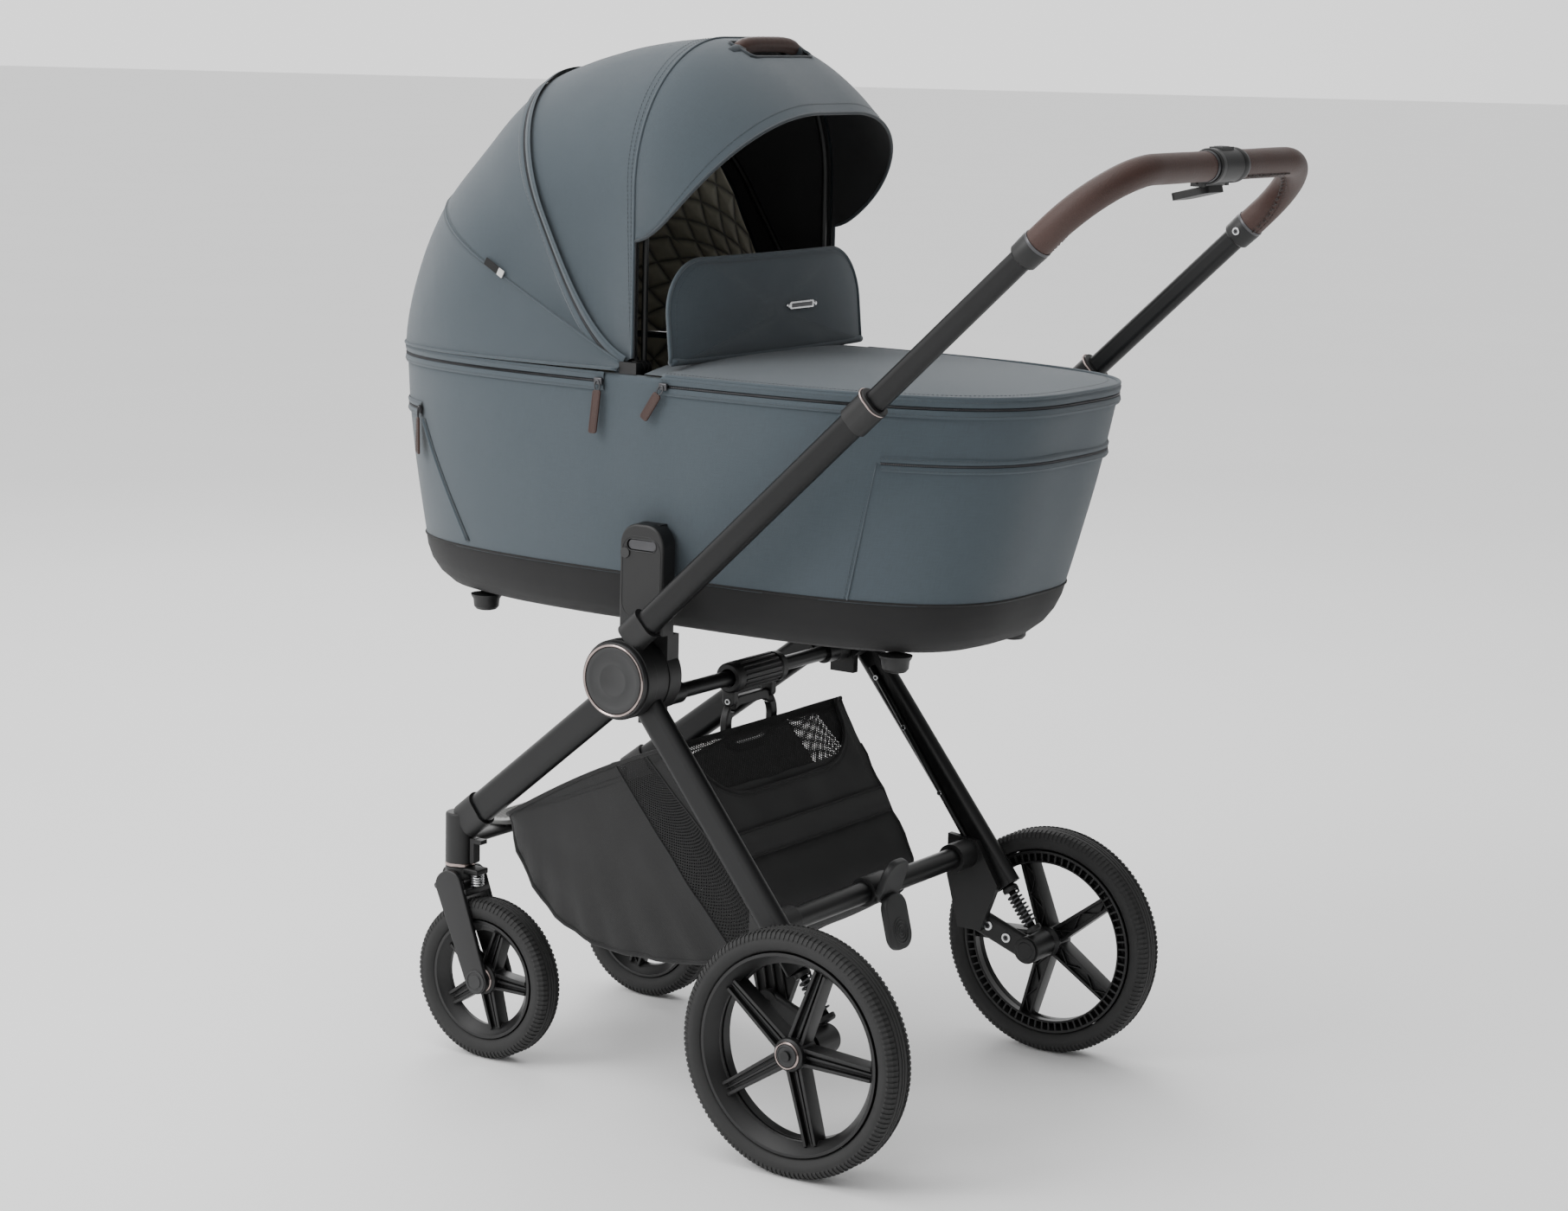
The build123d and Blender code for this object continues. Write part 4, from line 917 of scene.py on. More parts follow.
def apron_flank(side, end):
    """The straight part of the apron on one side, up to the hood."""
    turns = [turn_at(COT_MID_Y + (end - COT_MID_Y) * k / 12, side) for k in range(13)]
    edge = [plan_point(turn, mm(1.5), RIM_Z + APRON_STEP) for turn in turns]
    strip = []
    for k in range(15):
        share = 1.0 - (k / 14) ** 1.3
        strip.append([Vector((p.x * share, p.y, RIM_Z + crown(share))) for p in edge])
    return surface("flank", strip, "blue")


def apron():
    """The cover over the foot end, crowned between its edges, with a welt along the rim."""
    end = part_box("apron")[1].y
    sheets = [apron_foot(end)] + [apron_flank(side, end) for side in (-1, 1)]
    cover = put(joined("apron_cover", sheets), "carrycot", "apron")
    start = turn_at(end, -1)
    rim = ring_of(mm(1.0), RIM_Z + mm(2.5), 200, start, 540.0 - start)
    welt = tube("apron_welt", rim, WELT_R, "blue", 10)
    line = [p.lerp(Vector((0, COT_MID_Y, p.z)), 0.03) + Z * mm(2.4) for p in rim]
    put(joined("apron_edge", [welt, stitches("stitch", line, "blue_dark")]), "carrycot")


def flap_outline(half, height):
    """The edge of the wind flap, an upside-down U with rounded corners."""
    points = [Vector((-half, 0, 0))]
    for k in range(25):
        angle = math.pi / 2 * k / 24
        in_by, down_by = FLAP_CORNER * (1 - math.cos(angle)), FLAP_CORNER * (1 - math.sin(angle))
        points.append(Vector((-half + in_by, 0, height - down_by)))
    points += [Vector((-p.x, 0, p.z)) for p in reversed(points)]
    return evenly(points, 96)


def flap_pad(edge, half, height, bend):
    """The padded body of the flap, thick in the middle and thin at its edge."""
    ring = edge + [Vector((half - 2 * half * k / 24, 0, -mm(3))) for k in range(25)]
    base = Vector((0, 0, height * 0.42))
    sides = []
    for face in (1, -1):
        rows = []
        for share in [k / 12 for k in range(13)]:
            row = []
            for point in ring:
                inner = base.lerp(point, share)
                puffed = mm(6.5) * (1 - share ** 4) ** 0.6 + mm(0.3)
                fold = wrinkle(inner, 0.045, mm(1.5), 11.0) * (1 - share)
                row.append(bend(Vector((inner.x, -face * puffed + fold, inner.z))))
            rows.append(row)
        sides.append(surface("side", rows if face > 0 else rows[::-1], "blue", closed=True))
    pad = joined("flap_pad", sides)
    weld(pad, 0.0001)
    put(pad, "wind_flap", "wind_flap")


def flap_plate(centre):
    """The plain metal plate on the flap, with a rivet at each end."""
    plate = prism("plate", rounded(mm(50), mm(9), mm(2)), centre, X, Z, mm(1.6), "steel", mm(0.5))
    front = centre - Y * mm(0.7)
    field = prism("field", rounded(mm(43), mm(5), mm(1)), front, X, Z, mm(0.8), "dark_steel", mm(0.2))
    head = mms((0, 0), (0, 3), (1.4, 2.4), (2, 0))
    rivets = [lathe("rivet", centre + X * s * mm(28), -Y, head, "steel", 20) for s in (-1, 1)]
    put(joined("flap_plate", [plate, field] + rivets), "wind_flap")


def wind_flap():
    """The padded flap that stands across the apron, with piping and a plain metal plate."""
    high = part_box("wind_flap")[1]
    hinge = joint_at("wind_flap_fold")
    half, height = high.x, high.z - hinge.z

    def bend(point):
        """The flap curves round towards the hood at its ends and leans back a little."""
        curve = FLAP_CURVE * (point.x / half) ** 2
        return Vector((point.x, hinge.y + curve + point.y + point.z * FLAP_LEAN, hinge.z + point.z))

    edge = flap_outline(half, height)
    flap_pad(edge, half, height, bend)
    piping = tube("piping", [bend(p) for p in edge], WELT_R * 1.15, "blue", 10)
    inside = [bend(Vector((p.x * 0.965, -mm(4.6), p.z * 0.955))) for p in edge]
    row = stitches("stitch", inside, "blue_dark")
    base = [bend(Vector((-half + half * 2 * k / 40, 0, 0))) for k in range(41)]
    roll = tube("roll", base, mm(4.5), "blue", 12)
    put(joined("flap_piping", [piping, row, roll]), "wind_flap")
    flap_plate(bend(Vector((0.045, -mm(9.2), height * 0.46))))


# ---- hood -----------------------------------------------------------------------------------
def arch(half, reach, inset=0.0, count=HOOD_SAMPLES):
    """Evenly spaced (x, distance from the pivot) points of an upside-down U."""
    corner = HOOD_CORNER - inset
    half, reach = half - inset, reach - inset
    points = [Vector((-half, HOOD_FOOT, 0))]
    for k in range(33):
        angle = math.pi / 2 * k / 32
        points.append(Vector((
            -half + corner * (1 - math.cos(angle)), reach - corner * (1 - math.sin(angle)), 0
        )))
    points += [Vector((-p.x, p.y, 0)) for p in reversed(points)]
    return evenly(points, count)


def bow_shape(angle):
    """Half width and reach of the cloth at an angle, between the bows on each side of it."""
    for k in range(3):
        if angle <= BOW_ANGLE[k + 1] + 1e-6:
            share = (angle - BOW_ANGLE[k]) / (BOW_ANGLE[k + 1] - BOW_ANGLE[k])
            half = BOW_HALF[k] + (BOW_HALF[k + 1] - BOW_HALF[k]) * share
            reach = BOW_REACH[k] + (BOW_REACH[k + 1] - BOW_REACH[k]) * share
            return half, reach, math.sin(math.pi * share)
    return BOW_HALF[3], BOW_REACH[3], 0.0


def hood_point(x, reach, angle):
    """A point at a distance from the hood's hinge axis, at an angle up from the rim."""
    turn = math.radians(angle)
    return HOOD_PIVOT + Vector((x, reach * math.cos(turn), reach * math.sin(turn)))


def rim_line(inset, count):
    """The hood's lower edge, which follows the carrycot's outline round the head end."""
    start = turn_at(HOOD_PIVOT.y + HOOD_FOOT, 1)
    return ring_of(inset - mm(1.5), RIM_Z, count, 180.0 - start, start)


def hood_row(angle, inset=0.0, count=HOOD_SAMPLES):
    """The cloth's line at one angle, dipping between the bows and lightly creased."""
    half, reach, dip = bow_shape(angle)
    flat = arch(half, reach, inset + HOOD_SAG * dip * 0.5, count)
    share = min(1.0, (angle - BOW_ANGLE[0]) / (BOW_ANGLE[1] - BOW_ANGLE[0]))
    band = max(0.0, 1.0 - abs(angle - BOW_ANGLE[2]) / (BOW_ANGLE[3] - BOW_ANGLE[2]))
    row = []
    for point, low in zip(flat, rim_line(inset, count)):
        x = low.x + (point.x - low.x) * share
        away = low.y - HOOD_PIVOT.y + (point.y - low.y + HOOD_PIVOT.y) * share
        away -= HOOD_SAG * 0.6 * dip * min(1.0, point.y / reach)
        base = hood_point(x, away, angle - BAND_LEAN * band * math.exp(-away / BAND_REACH))
        out = Vector((base.x * 1.2, base.y - HOOD_PIVOT.y, base.z - HOOD_PIVOT.z)).normalized()
        row.append(
            base + out * (
                wrinkle(base, 0.09, mm(2.2) * dip, 13.0) + wrinkle(base, 0.03, mm(0.5) * dip, 14.0)
            )
        )
    return row


def hood_cloth(name, low, high, inset, material, fineness=1):
    """A panel between two angles, set in from the cloth's outside by inset."""
    steps = 14 * fineness
    angles = [low + (high - low) * k / steps for k in range(steps + 1)]
    return surface(name, [hood_row(angle, inset, HOOD_SAMPLES * fineness) for angle in angles], material)


def puff(lining):
    """Fills the diamonds that the quilting is stitched in, towards the inside of the hood."""
    mesh = lining.data
    layer = mesh.uv_layers.active.data
    rise = {}
    for loop in mesh.loops:
        u, v = layer[loop.index].uv
        waves = [abs(math.cos(math.pi * (u + sign * v) / math.sqrt(2) / QUILT_PITCH)) for sign in (-1, 1)]
        rise[loop.vertex_index] = QUILT_DEPTH * min(waves) ** QUILT_POWER
    for index, height in rise.items():
        vertex = mesh.vertices[index]
        vertex.co += (HOOD_PIVOT - vertex.co).normalized() * height


def fold_line(low, high, reach=0.2):
    """The ends of a panel: two points in its middle, at a reach from the pivot, at its lower and its upper
    angle.
    """
    return hood_point(0, reach, low), hood_point(0, reach, high)


def hood():
    """The three panels of cloth with their lining, between the bows."""
    names = ("rear", "mid", "front")
    for k, name in enumerate(names):
        low, high = BOW_ANGLE[k], BOW_ANGLE[k + 1]
        start, end = fold_line(low, high)
        cloth = hood_cloth(f"hood_cloth_{name}", low, high, 0.0, "blue")
        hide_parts(f"hood_panel_{name}")
        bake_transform(cloth)
        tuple(start)
        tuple(end)
        if name == "front":
            lining = hood_cloth(f"hood_lining_{name}", low, high, LINING_GAP, "black_lining")
        else:
            lining = hood_cloth(f"hood_lining_{name}", low, high, QUILT_GAP, "quilt", 2)
            puff(lining)
        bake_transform(lining)
        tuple(start)
        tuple(end)


def seam_on_hood(name, angle, parts_of, lift=0.0):
    """Piping with a row of stitches on each side, along one bow."""
    row = hood_row(angle, -lift)
    parts = [tube("piping", row, mm(1.2), "blue", 8)]
    for shift in (-1.3, 1.3):
        parts.append(stitches("stitch", hood_row(angle + shift * 0.5, -lift - mm(0.3)), "blue_dark"))
    return put(joined(name, parts), parts_of)


def hood_trim():
    """Seams and the zip on the hood, a plain tab and the front edge."""
    seam_on_hood("hood_seam_rear", BOW_ANGLE[1], "hood_rear", mm(0.2))
    row = hood_row(BOW_ANGLE[2], -mm(0.6))
    out = [(p - HOOD_PIVOT - X * (p.x * 0.4)).normalized() for p in row]
    along = [f[0] for f in frames(row)]
    up = [o.cross(a).normalized() for o, a in zip(out, along)]
    out = [a.cross(u).normalized() for a, u in zip(along, up)]
    band = zipper("hood_band", row, out, up, mm(21))
    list(fold_line(BOW_ANGLE[1], BOW_ANGLE[2]))
    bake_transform(band)
    put(tube("hood_hem", hood_row(BOW_ANGLE[0], -mm(0.4)), mm(1.8), "blue", 8), "carrycot")
    front = hood_row(BOW_ANGLE[3], -mm(0.4))
    welt = tube("welt", front, mm(1.6), "blue", 8)
    rows = [stitches("stitch", hood_row(BOW_ANGLE[3] - s, -mm(0.5)), "blue_dark") for s in (1.2, 2.4)]
    put(joined("hood_edge", [welt] + rows), "hood_front")
    put(side_tab(), "hood_rear")


def side_tab():
    """The plain two-coloured tab sewn into the rear seam, on the left side only."""
    seam = hood_row(BOW_ANGLE[1] + 1.0, -mm(1.0))
    index = int(HOOD_SAMPLES * 0.20)
    spot = seam[index]
    along = (seam[index + 3] - spot).normalized()
    face = Vector((-1, 0.35, 0.15)).normalized()
    side = face.cross(along).normalized()
    tabs = []
    for length, shift, rise, material in ((26, 0, 1.5, "charcoal"), (9, 14, 1.8, "tag")):
        at = spot - along * mm(shift) + face * mm(rise)
        outline = rounded(mm(length), mm(9), mm(1))
        tabs.append(prism("tab", outline, at, along, side, mm(1.2), material, mm(0.3)))
    return joined("side_tab", tabs)


def visor_row(share, inset=0.0):
    """The peak's line at a share of its depth, from the front bow to its edge."""
    half, reach, _ = bow_shape(BOW_ANGLE[3])
    row = []
    for point in arch(half, reach, inset):
        tall = max(0.0, min(1.0, (point.y - VISOR_LOW) / (reach - VISOR_LOW)))
        ease = tall ** 0.75
        drop = VISOR_DROP * (share ** 1.7) * ease
        forward = VISOR_DEPTH * share * ease
        narrow = 1.0 + 0.02 * math.sin(math.pi * share) * ease
        row.append(HOOD_PIVOT + Vector((point.x * narrow, -forward, point.y - drop)))
    return row


def grip_slot():
    """The ends of the slot under the carry grip: half its length, and its shares of the peak's depth."""
    low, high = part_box("carry_grip")
    near, far = HOOD_PIVOT.y - high.y - mm(2), HOOD_PIVOT.y - low.y + mm(13)
    return high.x + mm(1), near / VISOR_DEPTH, far / VISOR_DEPTH


def open_for_grip(cloth):
    """Cuts the slot that the carry grip bridges out of the peak."""
    half, near, far = grip_slot()
    bm = bmesh.new()
    bm.from_mesh(cloth.data)
    inside = []
    for face in bm.faces:
        middle = face.calc_center_median()
        ahead = (HOOD_PIVOT.y - middle.y) / VISOR_DEPTH
        if abs(middle.x) < half and near < ahead < far and middle.z > HOOD_PIVOT.z + VISOR_LOW:
            inside.append(face)
    bmesh.ops.delete(bm, geom=inside, context="FACES")
    bm.to_mesh(cloth.data)
    bm.free()


def slot_binding():
    """The tape round the slot, laid on the peak."""
    half, near, far = grip_slot()
    reach = BOW_REACH[3]
    loop = []
    for x, y in rounded(2 * half + mm(3), (far - near) * VISOR_DEPTH + mm(3), mm(8)):
        ahead = (near + far) / 2 * VISOR_DEPTH + y
        loop.append(HOOD_PIVOT + Vector((x, -ahead, reach - VISOR_DROP * (ahead / VISOR_DEPTH) ** 1.7)))
    return tube("binding", loop, mm(1.7), "blue_dark", 8, closed=True)


def visor():
    """The peak in front of the first bow: cloth over a lining, bound along its edge."""
    _, near, far = grip_slot()
    shares = [near * k / 3 for k in range(3)] + [near + (far - near) * k / 3 for k in range(3)]
    shares += [far + (1 - far) * k / 10 for k in range(11)]
    cloth = put(surface("visor_cloth", [visor_row(s) for s in shares], "blue"), "hood_front", "hood_visor")
    open_for_grip(cloth)
    lining = put(
        surface(
            "visor_lining", [visor_row(s, mm(4) * (1 - s) + mm(1.6)) for s in shares], "black_lining"
        ),
        "hood_front"
    )
    open_for_grip(lining)
    edge = tube("edge", visor_row(1.0, mm(0.8)), mm(2.0), "blue_dark", 10)
    row = stitches("stitch", visor_row(0.93, -mm(0.5)), "blue_dark")
    put(joined("visor_edge", [edge, row, slot_binding()]), "hood_front")


def carry_grip():
    """The leather grip over the slot in the peak, sewn along its underside, with two cloth roots."""
    low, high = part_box("carry_grip")
    mid = (low + high) / 2
    half = high.x
    path, radii = [], []
    for k in range(41):
        t = -1 + 2 * k / 40
        path.append(Vector((half * t, mid.y, mid.z + mm(6) - mm(6) * t ** 4)))
        radii.append(mm(9) * (1 - 0.25 * t ** 8) * (1 + 0.01 * math.sin(k * 1.9)))
    put(tube("grip_leather", path, radii, "leather", 24), "hood_front", "carry_grip")
    seam = [p + Vector((0, mm(8.6), -mm(1))) for p in path]
    cuffs = []
    for side in (-1, 1):
        at = Vector((side * half, mid.y, mid.z - mm(3)))
        cuffs.append(tube(
            "cuff", [at + X * side * -mm(6), at, at + X * side * mm(14) - Z * mm(3)],
            [mm(9.4), mm(9.6), mm(7)], "blue_dark", 20
        ))
    put(joined("grip_trim", [stitches("stitch", seam)] + cuffs), "hood_front")


# ---- wheels ---------------------------------------------------------------------------------
def wheel_point(centre, x, radius, angle):
    return centre + Vector((x, radius * math.cos(angle), radius * math.sin(angle)))


def tyre(name, centre, radius, width, lugs):
    """A tyre with a grooved tread and a row of short lugs round each shoulder."""
    w, r = width / 2, radius - mm(1.4)
    half = [
        (0.62 * w, r - mm(23.4)), (0.80 * w, r - mm(21)), (0.97 * w, r - mm(15)),
        (0.99 * w, r - mm(10)), (0.90 * w, r - mm(5.2)), (0.88 * w, r - mm(4.6)),
        (0.78 * w, r - mm(1.8)), (0.58 * w, r - mm(0.3)), (0.50 * w, r), (0.46 * w, r),
        (0.44 * w, r - mm(1.3)), (0.38 * w, r - mm(1.3)), (0.36 * w, r + mm(0.2)),
        (0.16 * w, r + mm(0.5)), (0.14 * w, r - mm(0.9)), (0.09 * w, r - mm(0.9)),
        (0.07 * w, r + mm(0.6))
    ]
    profile = half + [(-a, b) for a, b in reversed(half)]
    profile = profile + [profile[0]]
    parts = [lathe("body", centre, X, profile, "tyre", 160)]
    verts, faces = [], []
    for k in range(lugs):
        for side in (-1, 1):
            angle = 2 * math.pi * (k + 0.25 * side) / lugs
            half_turn = math.pi / lugs * 0.56
            base = len(verts)
            for x, low, high in ((0.50, 0.6, -1.3), (0.80, 2.4, 0.9), (0.965, 8.0, 6.2)):
                for a in (angle - half_turn, angle + half_turn):
                    verts.append(wheel_point(centre, side * x * w, r - mm(low) - mm(1.2), a))
                    verts.append(wheel_point(centre, side * (x * w + mm(0.3)), r - mm(high), a))
            for step in (0, 4):
                a = base + step
                faces += [
                    (a, a + 4, a + 5, a + 1), (a + 2, a + 3, a + 7, a + 6), (a + 1, a + 5, a + 7, a + 3)
                ]
            faces += [(base, base + 1, base + 3, base + 2), (base + 8, base + 10, base + 11, base + 9)]
    parts.append(piece("lugs", verts, faces, "tyre", smooth=False))
    return joined(name, parts)


def spoke(centre, side, angle, inner, outer, depth, wide):
    """A tapered spoke: two ribs standing on a thin web, braced on the inner face."""
    turn = Matrix.Rotation(angle, 4, "X").to_3x3()
    parts = []

    def at(x, up, across):
        return centre + turn @ Vector((x * side, across, up))

    def bar(x_low, x_high, start, end, half_start, half_end):
        verts = []
        for x in (x_low, x_high):
            verts += [at(x, start[0], start[1] - half_start), at(x, start[0], start[1] + half_start)]
            verts += [at(x, end[0], end[1] + half_end), at(x, end[0], end[1] - half_end)]
        faces = [(0, 1, 2, 3), (4, 7, 6, 5), (0, 4, 5, 1), (1, 5, 6, 2), (2, 6, 7, 3), (3, 7, 4, 0)]
        made = piece("bar", verts, faces, "rim")
        weld(made)
        return bevelled(made, mm(0.9), 2)

    parts.append(bar(-depth * 0.22, depth * 0.16, (inner, 0), (outer, 0), wide * 0.50, wide * 0.40))
    for s in (-1, 1):
        parts.append(bar(
            -depth * 0.5, depth * 0.5, (inner, s * wide * 0.44), (outer, s * wide * 0.34), wide * 0.11,
            wide * 0.10
        ))
    parts.append(bar(depth * 0.1, depth * 0.34, (inner, 0), (outer, 0), wide * 0.10, wide * 0.06))
    steps = 4
    for k in range(steps):
        low = inner + (outer - inner) * k / steps
        high = inner + (outer - inner) * (k + 1) / steps
        s = 1 if k % 2 else -1
        parts.append(bar(
            -depth * 0.42, -depth * 0.18, (low, -s * wide * 0.36), (high, s * wide * 0.34), mm(0.9),
            mm(0.9)
        ))
    return parts


def brake_channel(joint, side, w, outer, ribs):
    """The channel in the inner face of a rear rim, with the ribs that the brake catches."""
    floor = [
        (-w + mm(a), outer - mm(b))
        for a, b in (
            (1, 1.5), (12, 2), (12, 14), (1, 15), (0, 14), (0, 12.8), (9, 12.5), (9, 3.5), (1, 1.5)
        )
    ]
    parts = [lathe("channel", joint, X * side, floor, "rim", 120)]
    for angle in round_turns(ribs):
        turn = Matrix.Rotation(angle, 3, "X")
        at = joint + turn @ Vector((side * (-w + mm(5)), 0, outer - mm(8)))
        parts.append(block("rib", at, mms(8.4, 2.6, 10), "rim", mm(0.5), turn))
    return parts


def wheel_cap(joint, face, w):
    """The cover on the hub of a wheel, with its plated ring."""
    cap = [
        (w + mm(a), mm(b))
        for a, b in ((-2, 0), (-2, 13.5), (-0.2, 13.5), (1.6, 12.2), (2, 11), (1.2, 10.4), (1.2, 2), (1.2, 0))
    ]
    ring = [
        (w + mm(a), mm(b))
        for a, b in ((-1, 13.4), (1.2, 13.6), (1.6, 14.6), (0.4, 15.6), (-1, 15.6), (-1, 13.4))
    ]
    return [lathe("cap", joint, face, cap, "plastic_grey"), lathe("cap_ring", joint, face, ring, "rose")]


def wheel(name, body, radius, width, side, channel_ribs):
    """A spoked wheel with its tyre. side is the way its outer face looks."""
    joint = joint_at(body.replace("wheel", "wheel_spin"))
    rubber_piece = tyre(f"{name}_tyre", joint, radius, width, round(radius * LUGS_PER_METRE))
    put(rubber_piece, body, body.replace("wheel", "tyre"))
    w = (width - mm(8)) / 2
    outer = radius - mm(25.4)
    face = X * side
    barrel = [
        (-w, outer), (-w, outer - mm(3)), (-w + mm(2), outer - mm(4)), (-mm(3), outer - mm(13.5)),
        (mm(3), outer - mm(14.5)), (w - mm(4), outer - mm(7)), (w - mm(2), outer - mm(5)),
        (w, outer - mm(3.5)), (w, outer), (-w, outer)
    ]
    hub = [
        (-w - mm(1), mm(6.2)), (-w - mm(1), mm(15)), (-w + mm(4), mm(19)), (w - mm(7), mm(19.5)),
        (w - mm(3), mm(18.5)), (w - mm(1), mm(16)), (w - mm(1), mm(12)), (-w - mm(1), mm(6.2))
    ]
    parts = [lathe("barrel", joint, face, barrel, "rim", 120), lathe("hub", joint, face, hub, "rim", 64)]
    for turn in round_turns(SPOKES):
        angle = turn - SPOKE_TURN * side
        parts += spoke(joint, side, angle, mm(15), outer - mm(11), width * 0.5, mm(19))
    if channel_ribs:
        parts += brake_channel(joint, side, w, outer, channel_ribs)
    parts += wheel_cap(joint, face, w)
    put(joined(f"{name}_rim", parts), body, body.replace("wheel", "rim"))


def coil(name, start, end, radius, wire, turns, material):
    """A compression spring with closed ends."""
    start, end = Vector(start), Vector(end)
    along = end - start
    first, second = axes(along)
    points = []
    count = int(turns * 18)
    for k in range(count + 1):
        t = k / count
        rise = wire / along.length + (1 - 2 * wire / along.length) * (
            t * 0.9 + 0.05 if 0.08 < t < 0.92 else (t * 0.55 if t <= 0.08 else 1 - (1 - t) * 0.55)
        )
        angle = 2 * math.pi * turns * t
        points.append(start + along * rise + radius * (math.cos(angle) * first + math.sin(angle) * second))
    return tube(name, points, wire, material, 8)


# ---- chassis --------------------------------------------------------------------------------
def springs():
    """The coil springs of the rear swing arms and of the front forks."""
    rear = []
    low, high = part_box("rear_springs")
    top_y, low_y = high.y - mm(8), low.y + mm(8)
    for side in (-1, 1):
        x = side * (high.x - mm(10))
        top, bottom = Vector((x, top_y, high.z - mm(6))), Vector((x, low_y, low.z + mm(6)))
        rear.append(coil("coil", top, bottom, mm(8.2), mm(1.35), 9, "dark_steel"))
        rear.append(tube("guide", [top, bottom], mm(4.6), "plastic", 16))
        for at, way in ((top, -1), (bottom, 1)):
            axis = (top - bottom).normalized() * -way
            rear.append(lathe(
                "seat", at, axis, mms((-3, 0), (-3, 10), (2, 10), (4, 8), (4, 0)), "plastic", 32
            ))
    put(joined("rear_coils", rear), "rear_frame", "rear_springs")
    for name, side in SIDES.items():
        low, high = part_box(f"front_spring_{name}")
        at = (low + high) / 2
        wound = coil(
            "coil", (at.x, at.y, high.z + mm(2)), (at.x, at.y, low.z - mm(2)), mm(7), mm(1.2), 5,
            "steel"
        )
        core = tube("core", [(at.x, at.y, high.z), (at.x, at.y, low.z)], mm(4), "plastic", 16)
        put(joined(f"front_coil_{name}", [wound, core]), f"caster_{name}", f"front_spring_{name}")


def ring_bolt(at, axis, radius=mm(6)):
    """A washer with a countersunk socket screw."""
    parts = [
        lathe(
            "washer", at, axis,
            [
                (0, radius * 0.6), (0, radius), (mm(1.2), radius), (mm(1.6), radius * 0.92),
                (mm(1.6), radius * 0.6)
            ],
            "steel", 32
        ),
        lathe(
            "screw", at, axis,
            [
                (0, radius * 0.6), (mm(1.0), radius * 0.58), (mm(1.0), radius * 0.3),
                (-mm(0.6), radius * 0.28), (-mm(0.6), 0)
            ],
            "dark_steel", 6
        ),
    ]
    return parts


def inside_rim(radius, *pairs):
    """A profile from pairs in millimetres: the height, and the distance inside the radius."""
    return [(mm(height), radius - mm(inside)) for height, inside in pairs]


def hub_covers():
    """The round covers on the folding hubs, with a plated ring and turned relief."""
    low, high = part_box("hub_caps")
    centre = joint_at("chassis_fold")
    radius = (high.z - low.z) / 2
    body = [(0, 0.0)] + inside_rim(radius, (0, 0), (3.6, 0), (5.0, 0.8), (5.4, 2.0), (5.4, 2.4))
    band = inside_rim(radius, (5.0, 2.3), (7.0, 2.8), (7.4, 3.6), (6.6, 5.0), (5.0, 5.2))
    disc = inside_rim(
        radius, (5.0, 5.3), (6.4, 6.2), (7.0, 8.0), (6.8, 12), (6.2, 13), (6.2, 24), (6.7, 25),
        (6.7, 27), (6.2, 28)
    )
    disc.append((mm(6.2), 0.0))
    parts = []
    for side in (-1, 1):
        at = Vector((side * (high.x - mm(7.6)), centre.y, centre.z))
        for name, profile, material in (
            ("body", body, "plastic_soft"), ("band", band, "rose"), ("disc", disc, "plastic_grey")
        ):
            parts.append(lathe(name, at, X * side, profile, material, 96))
    put(joined("hub_covers", parts), "front_frame", "hub_caps")


def post_details():
    """The lens recess and the screws on the uprights that hold the carrycot."""
    low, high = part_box("adapter_posts")
    hub = joint_at("chassis_fold")
    mid_y = (low.y + high.y) / 2
    parts = []
    for side in (-1, 1):
        face = X * side
        x = side * (high.x - mm(0.2))
        lens = prism(
            "lens", rounded(mm(38), mm(11), mm(5.4)), (x - side * mm(1.6), mid_y, high.z - mm(24)), Y,
            Z, mm(1.2), "dark_steel", mm(0.4)
        )
        rim = [Vector((x, mid_y + a, high.z - mm(24) + b)) for a, b in rounded(mm(41), mm(14), mm(6.8))]
        parts += [lens, tube("rim", rim, mm(0.8), "plastic_soft", 8, closed=True)]
        outline = rounded(high.y - low.y - mm(7), high.z - low.z - mm(60), mm(18))
        groove = [Vector((x, mid_y + a, (high.z + low.z) / 2 + b + mm(16))) for a, b in outline]
        parts.append(tube("groove", groove, mm(0.7), "plastic", 6, closed=True))
        for dz in (mm(-10), mm(12)):
            inner = Vector((side * POST_INNER_X, hub.y + mm(2), hub.z - mm(30) + dz))
            parts += ring_bolt(inner, -face, mm(4))
    put(joined("post_details", parts), "front_frame")


